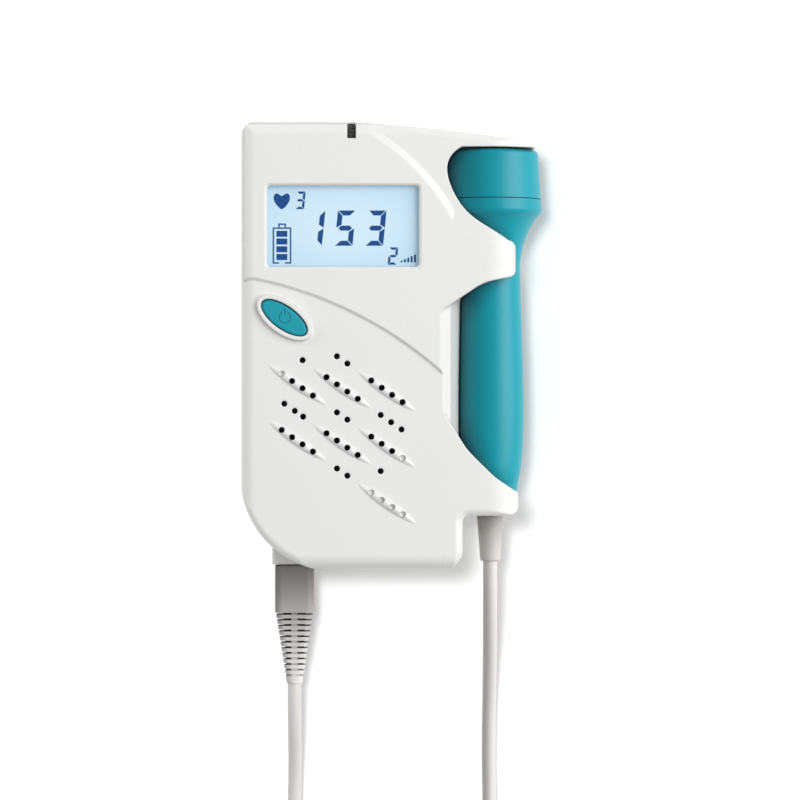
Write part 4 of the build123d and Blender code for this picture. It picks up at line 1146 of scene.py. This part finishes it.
def add_inputs(tree, kinds):
    """Gives a geometry tree its output and these inputs, and returns the inputs' identifiers."""
    tree.interface.new_socket("Geometry", in_out="OUTPUT", socket_type="NodeSocketGeometry")
    return {
        name: tree.interface.new_socket(name, in_out="INPUT", socket_type=kind).identifier
        for name, kind in kinds.items()
    }


spring_tree = bpy.data.node_groups.new("conical_spring", "GeometryNodeTree")
spring_inputs = add_inputs(
    spring_tree,
    {
        "Wire radius": "NodeSocketFloat",
        "Small radius": "NodeSocketFloat",
        "Large radius": "NodeSocketFloat",
        "Height": "NodeSocketFloat",
        "Turns": "NodeSocketFloat",
        "First place": "NodeSocketVector",
        "Second place": "NodeSocketVector",
    },
)
sizes = add_node(spring_tree, "NodeGroupInput").outputs
spiral = add_node(
    spring_tree,
    "GeometryNodeCurveSpiral",
    {"Resolution": 28},
    {
        "Rotations": sizes["Turns"],
        "Start Radius": sizes["Large radius"],
        "End Radius": sizes["Small radius"],
        "Height": sizes["Height"],
    },
)
profile = add_node(
    spring_tree, "GeometryNodeCurvePrimitiveCircle", {"Resolution": 10}, {"Radius": sizes["Wire radius"]}
)
wire = add_node(
    spring_tree,
    "GeometryNodeCurveToMesh",
    {"Fill Caps": True},
    {"Curve": spiral.outputs["Curve"], "Profile Curve": profile.outputs["Curve"]},
)
both = add_node(spring_tree, "GeometryNodeJoinGeometry")
for spot, turn in (("First place", -math.pi / 2), ("Second place", math.pi / 2)):
    spring = add_node(
        spring_tree,
        "GeometryNodeTransform",
        {"Rotation": (turn, 0.0, 0.0)},
        {"Geometry": wire.outputs["Mesh"], "Translation": sizes[spot]},
    )
    spring_tree.links.new(spring.outputs["Geometry"], both.inputs["Geometry"])
realized = add_node(
    spring_tree, "GeometryNodeRealizeInstances", links={"Geometry": both.outputs["Geometry"]}
)
finished = add_node(
    spring_tree, "GeometryNodeSetMaterial", {"Material": nickel}, {"Geometry": realized.outputs["Geometry"]}
)
add_node(spring_tree, "NodeGroupOutput", links={"Geometry": finished.outputs["Geometry"]})
print("spring tree of", len(spring_tree.nodes), "nodes")

# %% Wind the springs


def grow(name, tree, identifiers, values):
    """Runs a geometry tree with these inputs and returns its result as a plain mesh object."""
    seed = add_object(name, bpy.data.meshes.new(name + "_seed"))
    modifier = seed.modifiers.new(name, "NODES")
    modifier.node_group = tree
    for label, value in values.items():
        modifier[identifiers[label]] = value
    mesh = evaluated_mesh(seed)
    mesh.name = name
    seed.modifiers.clear()
    seed.data = mesh
    return seed


spring_low, spring_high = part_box("battery_springs")
wire_radius = 0.25 * MM
wide = (spring_high.z - spring_low.z) / 2
narrow = 2.4 * MM
spring_height = 1.6 * MM
spring_z = (spring_low.z + spring_high.z) / 2
springs = grow(
    "wound_springs",
    spring_tree,
    spring_inputs,
    {
        "Wire radius": wire_radius,
        "Small radius": narrow - wire_radius,
        "Large radius": wide - wire_radius,
        "Height": spring_height - 2 * wire_radius,
        "Turns": 3.25,
        "First place": (spring_low.x + wide, spring_low.y + wire_radius, spring_z),
        "Second place": (spring_high.x - wide, spring_high.y - wire_radius, spring_z),
    },
)
shade_smooth(springs.data)
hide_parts("battery_springs")
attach(springs, "unit")
print("springs", len(springs.data.polygons), "faces")

# %% [markdown]
# ## The dressed box
# The last cell measures the dressed model's box.

# %% Measure the dressed box
dressed_box = [list(corner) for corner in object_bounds()]
print("dressed box in mm", [in_mm(corner) for corner in dressed_box])
